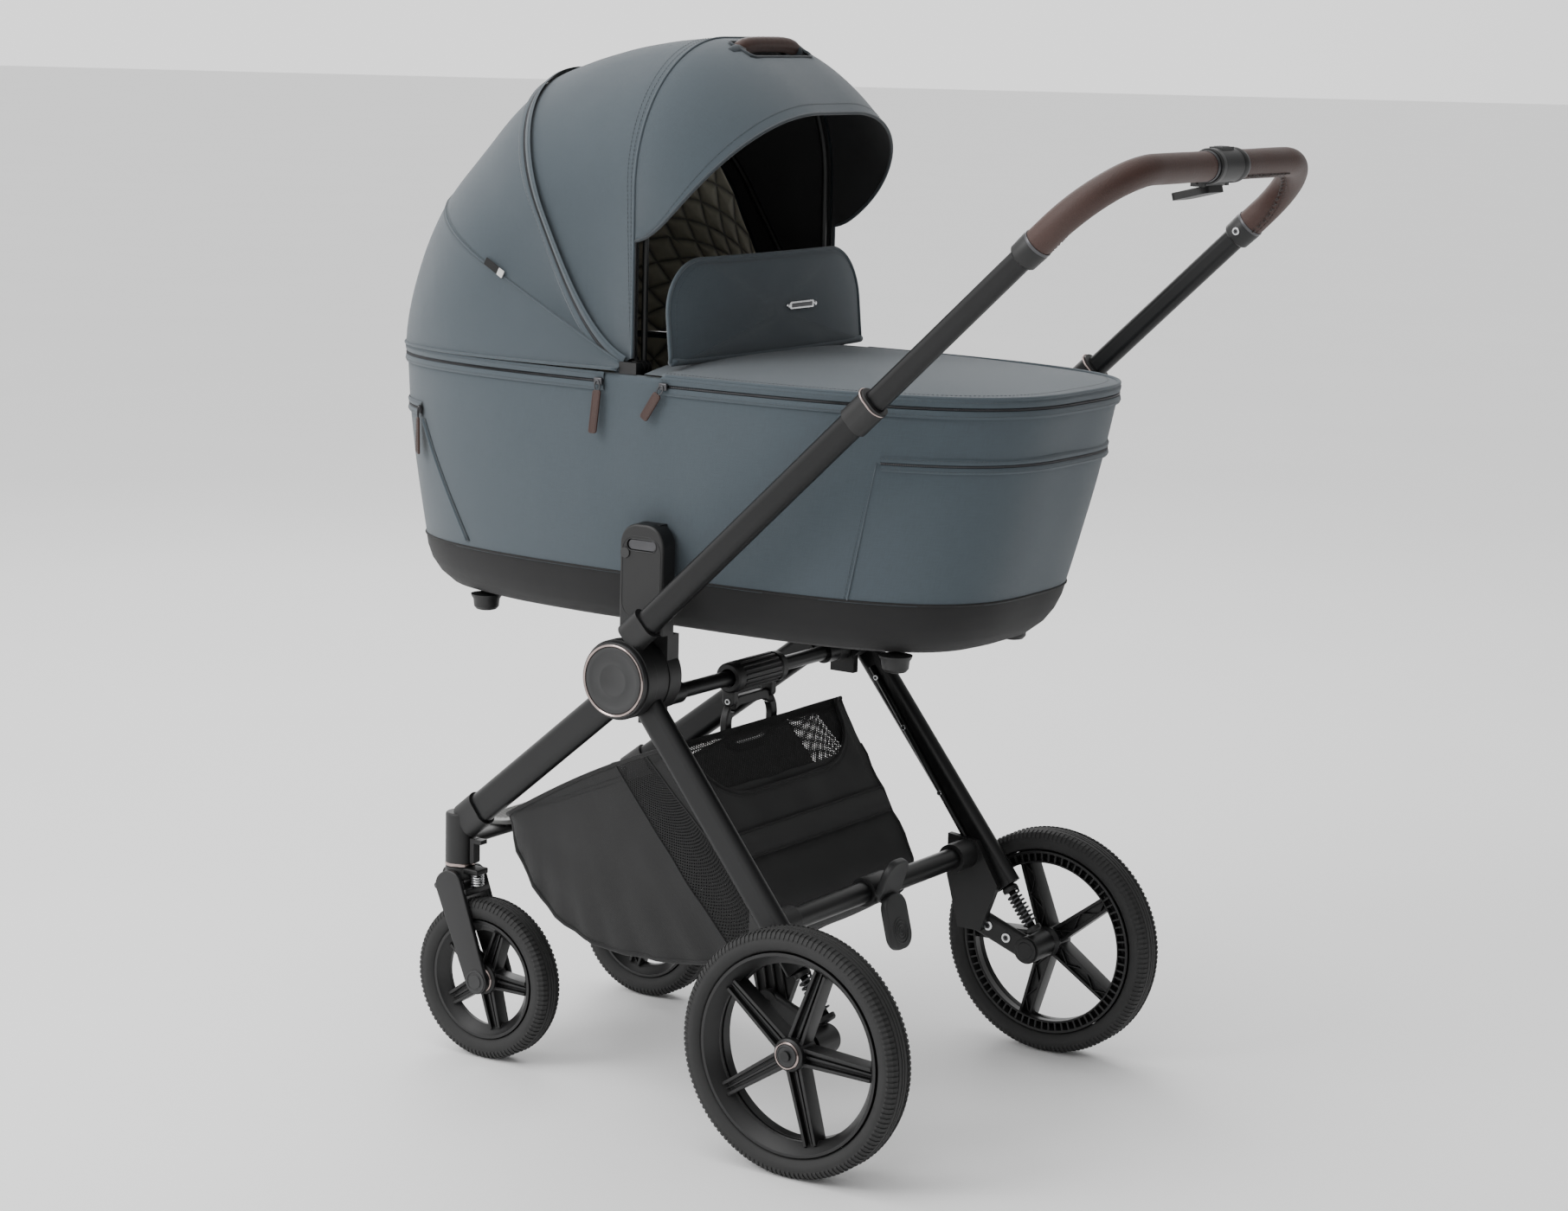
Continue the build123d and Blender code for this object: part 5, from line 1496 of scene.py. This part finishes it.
def fold_grip():
    """The ribbed sleeve on the middle of the fold bar, and the stepped ends of the bar."""
    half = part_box("fold_sleeve")[1].x
    bar_low, bar_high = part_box("fold_bar")
    y, z = (bar_low.y + bar_high.y) / 2, (bar_low.z + bar_high.z) / 2
    profile = [
        (-half, mm(11)), (-half, mm(16)), (-half + mm(2), mm(18)), (-half + mm(12), mm(18.6)),
        (-half + mm(14), mm(17))
    ]
    profile += [(-x, r) for x, r in reversed(profile)]
    parts = [lathe("sleeve", (0, y, z), X, profile, "plastic", 64)]
    for k in range(18):
        turn = Matrix.Rotation(2 * math.pi * k / 18, 3, "X")
        at = Vector((0, y, z)) + turn @ Vector((0, 0, mm(17.4)))
        parts.append(block("rib", at, (2 * half - mm(30), mm(2.8), mm(2.2)), "plastic_soft", mm(0.9), turn))
    ring_joint = joint_at("pull_ring_swing")
    for s in (-1, 1):
        ear = prism(
            "ear", rounded(mm(17), mm(26), mm(7)), (s * mm(40), ring_joint.y, ring_joint.z + mm(7)), Y,
            Z, mm(9.6), "plastic", mm(1.4)
        )
        parts += [ear] + ring_bolt(Vector((s * mm(44.9), ring_joint.y, ring_joint.z)), X * s, mm(3.6))
        collar = mms((0, 9.2), (0, 13.6), (20, 13.6), (21, 12.4), (38, 12.2), (40, 9.2))
        parts.append(lathe("collar", (s * (bar_high.x - mm(2)), y, z), -X * s, collar, "plastic", 48))
    put(joined("fold_grip", parts), "front_frame", "fold_sleeve")


def footrest():
    """The ribbed plate on the front cross member."""
    joint = joint_at("caster_swivel_left")
    mid_y, top = joint.y + mm(6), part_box("front_bar")[1].z
    reach = abs(joint.x) - mm(13)
    section = [
        Vector((0, mid_y - mm(6) + mm(15) * math.cos(a), top - mm(14) + mm(7) * math.sin(a)))
        for a in round_turns(32)
    ]
    rows = [[p + X * x for p in section] for x in (-reach, -reach * 0.5, 0, reach * 0.5, reach)]
    bar = surface("bar", rows, "plastic", closed=True)
    plate = prism(
        "plate", rounded(mm(200), mm(46), mm(20)), (0, mid_y, top - mm(4.4)), X, Y, mm(5.6), "footrest",
        mm(1.4)
    )
    parts = [bar, plate]
    for k in range(9):
        y = mid_y + mm(17) * (k - 4) / 4
        reach_rib = mm(88) * math.sqrt(1 - ((k - 4) / 6.5) ** 2)
        parts.append(tube(
            "rib",
            [(-reach_rib, y, top - mm(1.8)), (0, y, top - mm(1.4)), (reach_rib, y, top - mm(1.8))],
            mm(1.0), "footrest", 8
        ))
    for k in range(9):
        x = mm(90) * (k - 4) / 4
        parts.append(block("web", (x, mid_y, top - mm(11)), mms(2, 36, 10), "plastic", mm(0.4)))
    put(joined("footrest_plate", parts), "front_frame", "front_bar")


def caster_block(name, pivot, hinge):
    """The turning block under a leg, with the shelf and the cheeks that carry the fork."""
    turned = mms((-0.8, 0), (-0.8, 17.4), (-2, 18), (-12, 18), (-15.6, 16.6), (-15.6, 0))
    shelf = (pivot.x, pivot.y - mm(22), pivot.z - mm(4.2))
    cheek = (pivot.x, hinge.y - mm(4), hinge.z + mm(5))
    outline = rounded(mm(24), mm(30), mm(9))
    parts = [
        lathe("turn", pivot, Z, turned, "plastic", 64),
        block("shelf", shelf, mms(22, 26, 7), "plastic", mm(2)),
        prism("cheek", outline, cheek, Y, Z, mm(13.6), "plastic", mm(1.6)),
    ]
    put(joined(f"caster_block_{name}", parts), f"caster_{name}", f"caster_{name}")


def fork_arm(top, low, face):
    """One arm of a fork, tapered from its hinge to the axle, with a turned cap."""
    along = (low - top).normalized()
    length = (low - top).length
    turns = [math.pi * k / 12 for k in range(13)]
    outline = [(math.cos(a) * mm(20), -math.sin(a) * mm(17)) for a in turns]
    outline += [(-math.cos(a) * mm(16), length + math.sin(a) * mm(16)) for a in turns]
    across = along.cross(X).normalized()
    arm = prism("arm", outline, top, across, along, mm(7), "plastic_soft", mm(2))
    rings = mms((0, 0), (0, 14), (1.2, 14), (1.2, 11.6), (0.4, 11), (0.4, 9), (1.6, 8.4), (1.6, 0))
    return [arm, lathe("cap", low + face * mm(3.4), face, rings, "plastic_grey", 48)]


def casters():
    """The rings under the lower leg housings, the swivelling blocks and the two-armed forks."""
    seam = mms((0.6, 15), (0.6, 18.2), (2.6, 18.6), (4, 18.2), (5, 17))
    for name in SIDES:
        pivot = joint_at(f"caster_swivel_{name}")
        axle = joint_at(f"front_wheel_spin_{name}")
        hinge = joint_at(f"front_suspension_{name}")
        put(lathe(f"socket_ring_{name}", pivot, Z, seam, "rose", 64), "front_frame")
        caster_block(name, pivot, hinge)
        parts = []
        for s in (-1, 1):
            top = Vector((pivot.x + s * FORK_ARM_X, pivot.y - mm(2), hinge.z + mm(4)))
            parts += fork_arm(top, axle + X * s * FORK_ARM_X, X * s)
        crown_at = (pivot.x, pivot.y - mm(14), hinge.z - mm(4))
        parts.append(block("crown", crown_at, mms(46, 26, 9), "plastic_soft", mm(2)))
        parts.append(tube("pin", [hinge - X * mm(26), hinge + X * mm(26)], mm(4), "dark_steel", 24))
        parts.append(tube("axle", [axle - X * mm(22), axle + X * mm(22)], mm(6), "dark_steel", 24))
        put(joined(f"fork_arms_{name}", parts), f"fork_{name}", f"fork_{name}")


def swing_arms():
    """Bolts and the ribbed end cap on the arms of the rear wheels."""
    for name, side in SIDES.items():
        body = f"swing_arm_{name}"
        low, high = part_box(body)
        pivot = joint_at(f"rear_suspension_{name}")
        axle = joint_at(f"rear_wheel_spin_{name}")
        face = -X * side
        inner = low.x if side > 0 else high.x
        at = Vector((inner + face.x * mm(0.2), 0, 0))
        parts = []
        for y, z in ((pivot.y - mm(22), pivot.z - mm(6)), (pivot.y - mm(48), pivot.z - mm(17))):
            parts += ring_bolt(Vector((at.x, y, z)), face, mm(6))
        knob = mms((0, 0), (0, 15), (2.4, 15), (3, 13.5), (3, 11), (4, 10), (4.6, 6), (4.6, 0))
        parts.append(lathe("knob", (at.x, axle.y, axle.z), face, knob, "plastic", 48))
        put(joined(f"arm_details_{name}", parts), body)
        ribs = []
        x = side * (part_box("rear_brackets")[1].x - mm(14))
        for k in range(4):
            start = (x, pivot.y - mm(20) + mm(12) * k, pivot.z + mm(4))
            end = (x, pivot.y - mm(8) + mm(12) * k, pivot.z + mm(62))
            ribs.append(tube("rib", [start, end], mm(1.6), "plastic", 8))
        put(joined(f"bracket_ribs_{name}", ribs), "rear_frame")


def pedal():
    """The two paddles that turn the brake on and off."""
    joint = joint_at("brake_pedal_tilt")
    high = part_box("brake_pedal")[1]
    parts = [lathe(
        "sleeve", joint - X * high.x, X,
        [
            (0, mm(13.1)), (0, mm(17)), (mm(2), mm(18)), (2 * high.x - mm(2), mm(18)),
            (2 * high.x, mm(17)), (2 * high.x, mm(13.1))
        ],
        "plastic", 48
    )]
    back = joint.y - mm(25)
    for name, dy, dz, tilt, height in (
        ("upper", 0, mm(14), 20, mm(56)), ("lower", -mm(8), -mm(34), -14, mm(66))
    ):
        turn = Matrix.Rotation(math.radians(tilt), 3, "X")
        centre = Vector((0, back + dy, joint.z + dz))
        parts.append(prism(
            name, rounded(mm(46), height, mm(18)), centre, X, turn @ Z, mm(9), "plastic_grey", mm(2.6)
        ))
        face = turn @ -Y
        spot = centre + turn @ Vector((0, 0, mm(9) if name == "upper" else -mm(11)))
        for radius in (mm(15), mm(11), mm(7), mm(3)):
            circle = [
                spot + face * mm(4.7) + X * radius * math.cos(a) + turn @ Z * radius * math.sin(a)
                for a in round_turns(32)
            ]
            if name == "lower":
                parts.append(tube("ridge", circle, mm(0.8), "plastic_grey", 6, closed=True))
    put(joined("pedal_paddles", parts), "brake_pedal", "brake_pedal")


def leg_rails():
    """The profile on the inside of each rear leg that holds the basket, with its screws."""
    hub = joint_at("chassis_fold")
    low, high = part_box("rear_legs")
    x = high.x - mm(20) - mm(3)
    foot = Vector((0, low.y + mm(20), low.z + mm(8)))
    top = hub + Vector((0, -mm(40), -mm(52)))
    parts = []
    for side in (-1, 1):
        start = Vector((side * x, foot.y + mm(10), foot.z + mm(4)))
        end = Vector((side * x, top.y, top.z))
        parts.append(tube("rail", [start, end], mm(3.4), "tube", 12))
        for t in (0.12, 0.42, 0.72, 0.95):
            parts += ring_bolt(start.lerp(end, t) - X * side * mm(3), -X * side, mm(3.2))
    put(joined("basket_rails", parts), "rear_frame")


# ---- handle ---------------------------------------------------------------------------------
def bar_line(count=160):
    """The middle line of the handlebar, from the end of one grip to the end of the other."""
    grip_low, grip_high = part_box("grips")
    along, radius, corner = HANDLE_AXIS, BAR_R, BAR_CORNER
    half = grip_high.x - radius
    centre_bar = Vector((0, grip_low.y + radius, grip_high.z - radius))
    tail = (grip_high.y - mm(11) - centre_bar.y) / -along.y
    points = [Vector((-half, 0, 0)) + centre_bar - along * tail]
    for k in range(33):
        angle = math.pi / 2 * k / 32
        back = corner * (1 - math.sin(angle))
        points.append(centre_bar - along * back + X * (-half + corner * (1 - math.cos(angle))))
    points += [Vector((-p.x, p.y, p.z)) for p in reversed(points)]
    return evenly(points, count)


def lacing(part, side):
    """The laced seam under one leather sleeve, with a row of stitches on each side of it."""
    under = Vector((0, 0, -1))
    lace = []
    for point, (tangent, _, _) in zip(part, frames(part)):
        down = (under - tangent * under.dot(tangent)).normalized()
        inward = tangent.cross(down).normalized()
        if inward.x * side > 0:
            inward = -inward
        lace.append((point, (down * 0.8 + inward * 0.6).normalized(), tangent))
    made = []
    for shift in (-1, 1):
        line = [p + d * mm(16.1) + t.cross(d) * shift * mm(3.2) for p, d, t in lace]
        made.append(stitches("edge", line, "thread", mm(0.5), mm(3.4), mm(2)))
    track = evenly([p + d * mm(16.3) for p, d, _ in lace], 64)
    for first, second in zip(track[2:-2:2], track[3:-1:2]):
        step = (second - first).cross(Vector((0, 0.4, 1))).normalized() * mm(3.6)
        for sign in (-1, 1):
            made.append(tube("lace", [first + step * sign, second - step * sign], mm(0.6), "thread", 6))
    return made


def sleeve_ends(part, side):
    """The collar, rings and bolt at the ends of one leather sleeve."""
    start, axis = part[0], (part[1] - part[0]).normalized()
    last = (part[-1] - part[-2]).normalized()
    collar = mms((-16, 10), (-16, 15), (-14, 16.6), (5, 17.4), (7, 16.8), (7, 15))
    ring = mms((6.6, 15), (6.6, 17.2), (8.4, 17.5), (10, 17.0), (10, 15))
    end_ring = mms((-3, 15), (-3, 17), (1.5, 17.2), (1.5, 15))
    made = [lathe("collar", start, axis, collar, "plastic"), lathe("ring", start, axis, ring, "dark_steel")]
    made += ring_bolt(start - X * side * mm(16.6) - axis * mm(4), -X * side, mm(4.4))
    made.append(lathe("ring", part[-1], last, end_ring, "dark_steel"))
    return made


def leather_grips():
    """Leather sleeves on the handlebar, laced along the underside, with collars at their ends."""
    line = bar_line()
    parts, trim = [], []
    for side in (-1, 1):
        part = [p for p in line if p.x * side > GRIP_GAP]
        if side > 0:
            part.reverse()
        part = evenly(part, 90)
        radii = [mm(16.2) + mm(0.25) * noise.noise(p * 30) for p in part]
        radii[0] = radii[-1] = mm(15)
        parts.append(tube("sleeve", part, radii, "leather", 32))
        trim += lacing(part, side) + sleeve_ends(part, side)
    put(joined("grip_sleeves", parts), "handle_upper", "grips")
    put(joined("grip_details", trim), "handle_upper")


def housing_details():
    """The rounded shells and ribs of the moulding in the middle of the handlebar."""
    line = bar_line()
    centre = line[len(line) // 2].copy()
    centre.x = 0
    parts = []
    for s in (-1, 1):
        at = centre + X * s * mm(31)
        parts.append(lathe(
            "cheek", at, -X * s, mms((0, 15), (0, 18), (1.4, 19), (9, 19), (10, 18.4)), "plastic", 64
        ))
    put(joined("housing_shells", parts), "handle_upper")
    button_low, button_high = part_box("fold_button")
    mid = (button_low + button_high) / 2
    ridge = [
        block(
            "ridge", (mm(6) * (k - 1), mid.y, button_high.z - mm(0.2)), mms(1.6, 12, 1.6),
            "plastic_grey", mm(0.5)
        )
        for k in range(3)
    ]
    put(joined("button_ridges", ridge), "fold_button")


def telescope_rings():
    """The plated ring at the top of each lower tube."""
    low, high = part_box("telescope_collars")
    along, parts = HANDLE_AXIS, []
    across = along.cross(X).normalized()
    for side in (-1, 1):
        top = Vector((side * TUBE_X, low.y + mm(13.5), high.z - mm(12.5)))
        outline = []
        for quarter in (0, 1):
            for k in range(17):
                angle = math.pi * (k / 16 + quarter) - math.pi / 2
                shift = mm(4.6) if quarter == 0 else -mm(4.6)
                outline.append(
                    top - along * mm(4) + across * (
                        shift + mm(14.3) * math.cos(angle)
                    ) + X * mm(14.3) * math.sin(angle)
                )
        parts.append(tube("ring", outline, mm(1.3), "rose", 8, closed=True))
    put(joined("telescope_rings", parts), "handle_lower")


# ---- basket ---------------------------------------------------------------------------------
def basket_rail(low, high):
    """The middle line of the tub, from its rear hem round the bottom to its front hem."""
    top = Vector((0, low.y + mm(126), high.z - mm(4)))
    rear = [Vector((0, low.y + y, low.z + z)) for y, z in mms((4, 74), (34, 24), (120, 6), (235, 4))]
    front = [Vector((0, high.y - y, low.z + z)) for y, z in mms((62, 34), (14, 96), (2, 146))]
    return evenly(round_corners([top] + rear + front, mm(34)), 90)


def tub_side(rail, half, sign):
    """One side of the tub: lines from the hem down to the bottom edge, from rear to front."""
    rows = []
    for k in range(41):
        t = k / 40
        hem = rail[0].lerp(rail[-1], t) + Z * mm(8) * math.sin(math.pi * t)
        place = bottom_at(rail, t)
        row = []
        for j in range(25):
            s = j / 24
            point = hem.lerp(place, s)
            belly = mm(7) * math.sin(math.pi * s) * math.sin(math.pi * min(1, t * 1.2))
            pull = mm(2.2) * s ** 3 * math.sin(k * 1.9)
            ripple = wrinkle(point, 0.05, mm(3), 17.0) * math.sin(math.pi * s)
            x = half - mm(6) * s + belly * 0.6 + pull + ripple
            row.append(Vector((sign * min(x, half + mm(4)), point.y, point.z)))
        rows.append(row)
    return rows


def basket_side(parts, rows, sign):
    """One side: two pieces of cloth with a strip of net between them, hem, tapes and stitching."""
    parts["cloth"].append(surface("side", rows[14:], "basket"))
    parts["cloth"].append(surface("side", rows[:8], "basket"))
    parts["net"].append(surface("net", rows[7:15], "net"))
    parts["trim"].append(tube("hem", [row[0] for row in rows], mm(2.6), "basket", 10))
    for drop in (3, 4):
        line = [row[0].lerp(row[-1], drop * 0.02) + X * sign * mm(1.6) for row in rows]
        parts["trim"].append(stitches("stitch", line, "charcoal"))
    parts["trim"].append(tube("edge", [row[-1] for row in rows], mm(2.4), "basket", 10))
    for strip in (rows[14], rows[7]):
        parts["trim"].append(tube("tape", strip, mm(1.2), "charcoal", 8))


def basket_floor(parts, rail, half):
    """The bottom of the tub, sagging between its sides."""
    rows = []
    for point in rail[8:]:
        row = []
        for k in range(25):
            across = k / 12 - 1
            flat = Vector(((half - mm(6)) * across, point.y, point.z))
            sag = mm(5) * (1 - across ** 2)
            row.append(Vector((flat.x, flat.y, point.z - sag + wrinkle(flat, 0.05, mm(2.5), 19.0))))
        rows.append(row)
    parts["cloth"].append(surface("floor", rows, "basket"))


def basket():
    """The cloth tub under the carrycot, hung from the front legs and from the rear legs' rails."""
    low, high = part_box("basket")
    half = high.x - mm(1)
    rail = basket_rail(low, high)
    parts = {"cloth": [], "net": [], "trim": []}
    for sign in (-1, 1):
        basket_side(parts, tub_side(rail, half, sign), sign)
    basket_floor(parts, rail, half)
    rear_panel(parts, rail, half)
    cloth = joined("basket_cloth", parts["cloth"])
    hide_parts("basket")
    net = joined("basket_net", parts["net"])
    trim = joined("basket_trim", parts["trim"])
    for made in (cloth, net, trim):
        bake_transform(made)


def round_corners(points, radius):
    """A line with each corner replaced by a short curve."""
    result = [points[0]]
    for before, corner, after in zip(points, points[1:], points[2:]):
        a = corner + (before - corner).normalized() * min(radius, (before - corner).length / 2)
        b = corner + (after - corner).normalized() * min(radius, (after - corner).length / 2)
        for k in range(9):
            t = k / 8
            result.append(a.lerp(corner, t).lerp(corner.lerp(b, t), t))
    result.append(points[-1])
    return result


def bottom_at(rail, t):
    """The point of the tub's profile that lies under a share of its hem."""
    return rail[int(round(8 + (len(rail) - 9) * t))] if t < 1 else rail[-1]


def rear_panel(parts, rail, half):
    """The rear wall with a dipped opening, the net behind it and the pocket flap below."""
    top, low = rail[0], rail[18]
    rows, nets = [], []
    for k in range(65):
        x = (half - mm(6)) * (k / 32 - 1)
        side = min(1.0, max(0.0, abs(k / 32 - 1) - 0.42) / 0.52)
        start = top.lerp(low, 0.56 * (1 - side ** 2.4) ** 0.5)
        column = [start.lerp(low, j / 16) for j in range(17)]
        rows.append([
            Vector((x, p.y, p.z)) + Y * wrinkle(Vector((x, p.y, p.z)), 0.06, mm(3), 21.0)
            for p in column
        ])
        nets.append([Vector((x, p.y + mm(5), p.z)) for p in [top.lerp(low, j / 12) for j in range(13)]])
    parts["cloth"].append(surface("rear", rows, "basket"))
    parts["net"].append(surface("window", nets, "net"))
    parts["trim"].append(tube("edge", [row[0] for row in rows], mm(2.4), "charcoal", 10))
    parts["trim"].append(stitches(
        "stitch", [row[0].lerp(row[-1], 0.08) - Y * mm(1.5) for row in rows], "charcoal"
    ))
    band = [
        [Vector((row[0].x, row[0].y, row[0].z)), row[0].lerp(row[-1], 0.05), row[0].lerp(row[-1], 0.1)]
        for row in nets
    ]
    parts["cloth"].append(surface("band", band, "basket"))
    flap_rows = []
    for k in range(33):
        x = (half - mm(12)) * (k / 16 - 1)
        flap_rows.append([
            Vector((x, p.y - mm(4) - mm(4) * math.sin(math.pi * j / 8), p.z))
            for j, p in enumerate([top.lerp(low, 0.86 + 0.22 * j / 8) for j in range(9)])
        ])
    parts["cloth"].append(surface("flap", flap_rows, "basket"))
    border = [row[0] for row in flap_rows] + [row[-1] for row in reversed(flap_rows)]
    parts["trim"].append(tube("binding", border, mm(1.6), "charcoal", 8, closed=True))


# ---- CAD pieces that are shown as they are --------------------------------------------------
CAD_MATERIAL = {
    "tube": (
        "front_legs", "rear_legs", "rear_cross_tube", "lower_tubes", "handlebar_tubes", "fold_bar"
    ),
    "plastic": (
        "hub_cores", "handle_hubs", "rear_hubs", "adapter_posts", "rear_brackets", "caster_sockets",
        "telescope_collars", "grip_housing", "cot_connectors", "hood_pivots", "swing_arm_left",
        "swing_arm_right", "swivel_lock_left", "swivel_lock_right", "pull_ring", "squeeze_lever",
        "hood_bow_rear", "hood_bow_mid", "hood_bow_front"
    ),
    "plastic_grey": ("release_button_left", "release_button_right", "fold_button"),
    "dark_steel": ("hub_pins",),
}


def dress_cad():
    """Gives a material to each CAD piece that is shown as it is."""
    for material, names in CAD_MATERIAL.items():
        for name in names:
            node = NODES[name]
            node.data.materials.clear()
            node.data.materials.append(MAT[material])


# ---- studio ---------------------------------------------------------------------------------
def camera():
    """The camera, where the photograph was taken from."""
    data = bpy.data.cameras.new("camera")
    data.lens = LENS_MM
    data.sensor_width = 36.0
    data.clip_end = 50.0
    made = bpy.data.objects.new("camera", data)
    look, up = Vector(CAMERA_LOOK).normalized(), Vector(CAMERA_UP)
    right = look.cross(up).normalized()
    turn = Matrix((right, right.cross(look), -look)).transposed().to_4x4()
    made.matrix_world = Matrix.Translation(CAMERA_AT) @ turn
    bpy.context.scene.collection.objects.link(made)
    bpy.context.scene.camera = made


def studio_floor():
    """A pale matt floor that reaches far past the picture."""
    corners = [(x * FLOOR_HALF, y * FLOOR_HALF, 0) for x, y in ((-1, -1), (1, -1), (1, 1), (-1, 1))]
    floor = piece("floor", corners, [(0, 1, 2, 3)], "mattress")
    ground = Shader("studio_floor", 0.7)
    tone = ground.noise(1.5, 2.0)
    ground.colour(ground.ramp(tone, 0.3, 0.7, (0.95, 0.95, 0.95), (0.97, 0.97, 0.97)))
    floor.data.materials.clear()
    floor.data.materials.append(ground.material)


def studio_light():
    """Soft light from all round that falls off to one side, and three wide lamps."""
    world = bpy.data.worlds.new("studio")
    bpy.context.scene.world = world
    world.use_nodes = True
    tree = world.node_tree
    background = tree.nodes["Background"]
    background.inputs["Color"].default_value = (1.0, 1.0, 1.0, 1.0)
    toward = tree.nodes.new("ShaderNodeVectorMath")
    toward.operation = "DOT_PRODUCT"
    toward.inputs[1].default_value = DARK_SIDE
    tree.links.new(tree.nodes.new("ShaderNodeTexCoord").outputs["Generated"], toward.inputs[0])
    level = tree.nodes.new("ShaderNodeMapRange")
    for socket, value in (
        ("From Min", -0.2), ("From Max", 0.85), ("To Min", WORLD_BRIGHT), ("To Max", WORLD_DARK)
    ):
        level.inputs[socket].default_value = value
    tree.links.new(toward.outputs["Value"], level.inputs["Value"])
    tree.links.new(level.outputs[0], background.inputs["Strength"])
    for name, at, width, power in LAMPS:
        light = bpy.data.lights.new(name, "AREA")
        light.size = width
        light.energy = power
        lamp = bpy.data.objects.new(name, light)
        aim = Vector((0, 0, 0.6)) - Vector(at)
        lamp.matrix_world = Matrix.Translation(at) @ aim.to_track_quat("-Z", "Y").to_matrix().to_4x4()
        bpy.context.scene.collection.objects.link(lamp)


def studio():
    camera()
    studio_floor()
    studio_light()


def main():
    studio()
    dress_cad()
    cot_wall()
    cot_tray()
    cot_trim()
    mattress()
    apron()
    wind_flap()
    hood()
    hood_trim()
    visor()
    carry_grip()
    for name, side in SIDES.items():
        wheel(f"rear_{name}", f"rear_wheel_{name}", REAR_WHEEL_R, REAR_WHEEL_WIDTH, side, BRAKE_RIBS)
        wheel(f"front_{name}", f"front_wheel_{name}", FRONT_WHEEL_R, FRONT_WHEEL_WIDTH, side, 0)
    springs()
    hub_covers()
    post_details()
    fold_grip()
    footrest()
    casters()
    swing_arms()
    pedal()
    leg_rails()
    leather_grips()
    housing_details()
    telescope_rings()
    basket()


main()
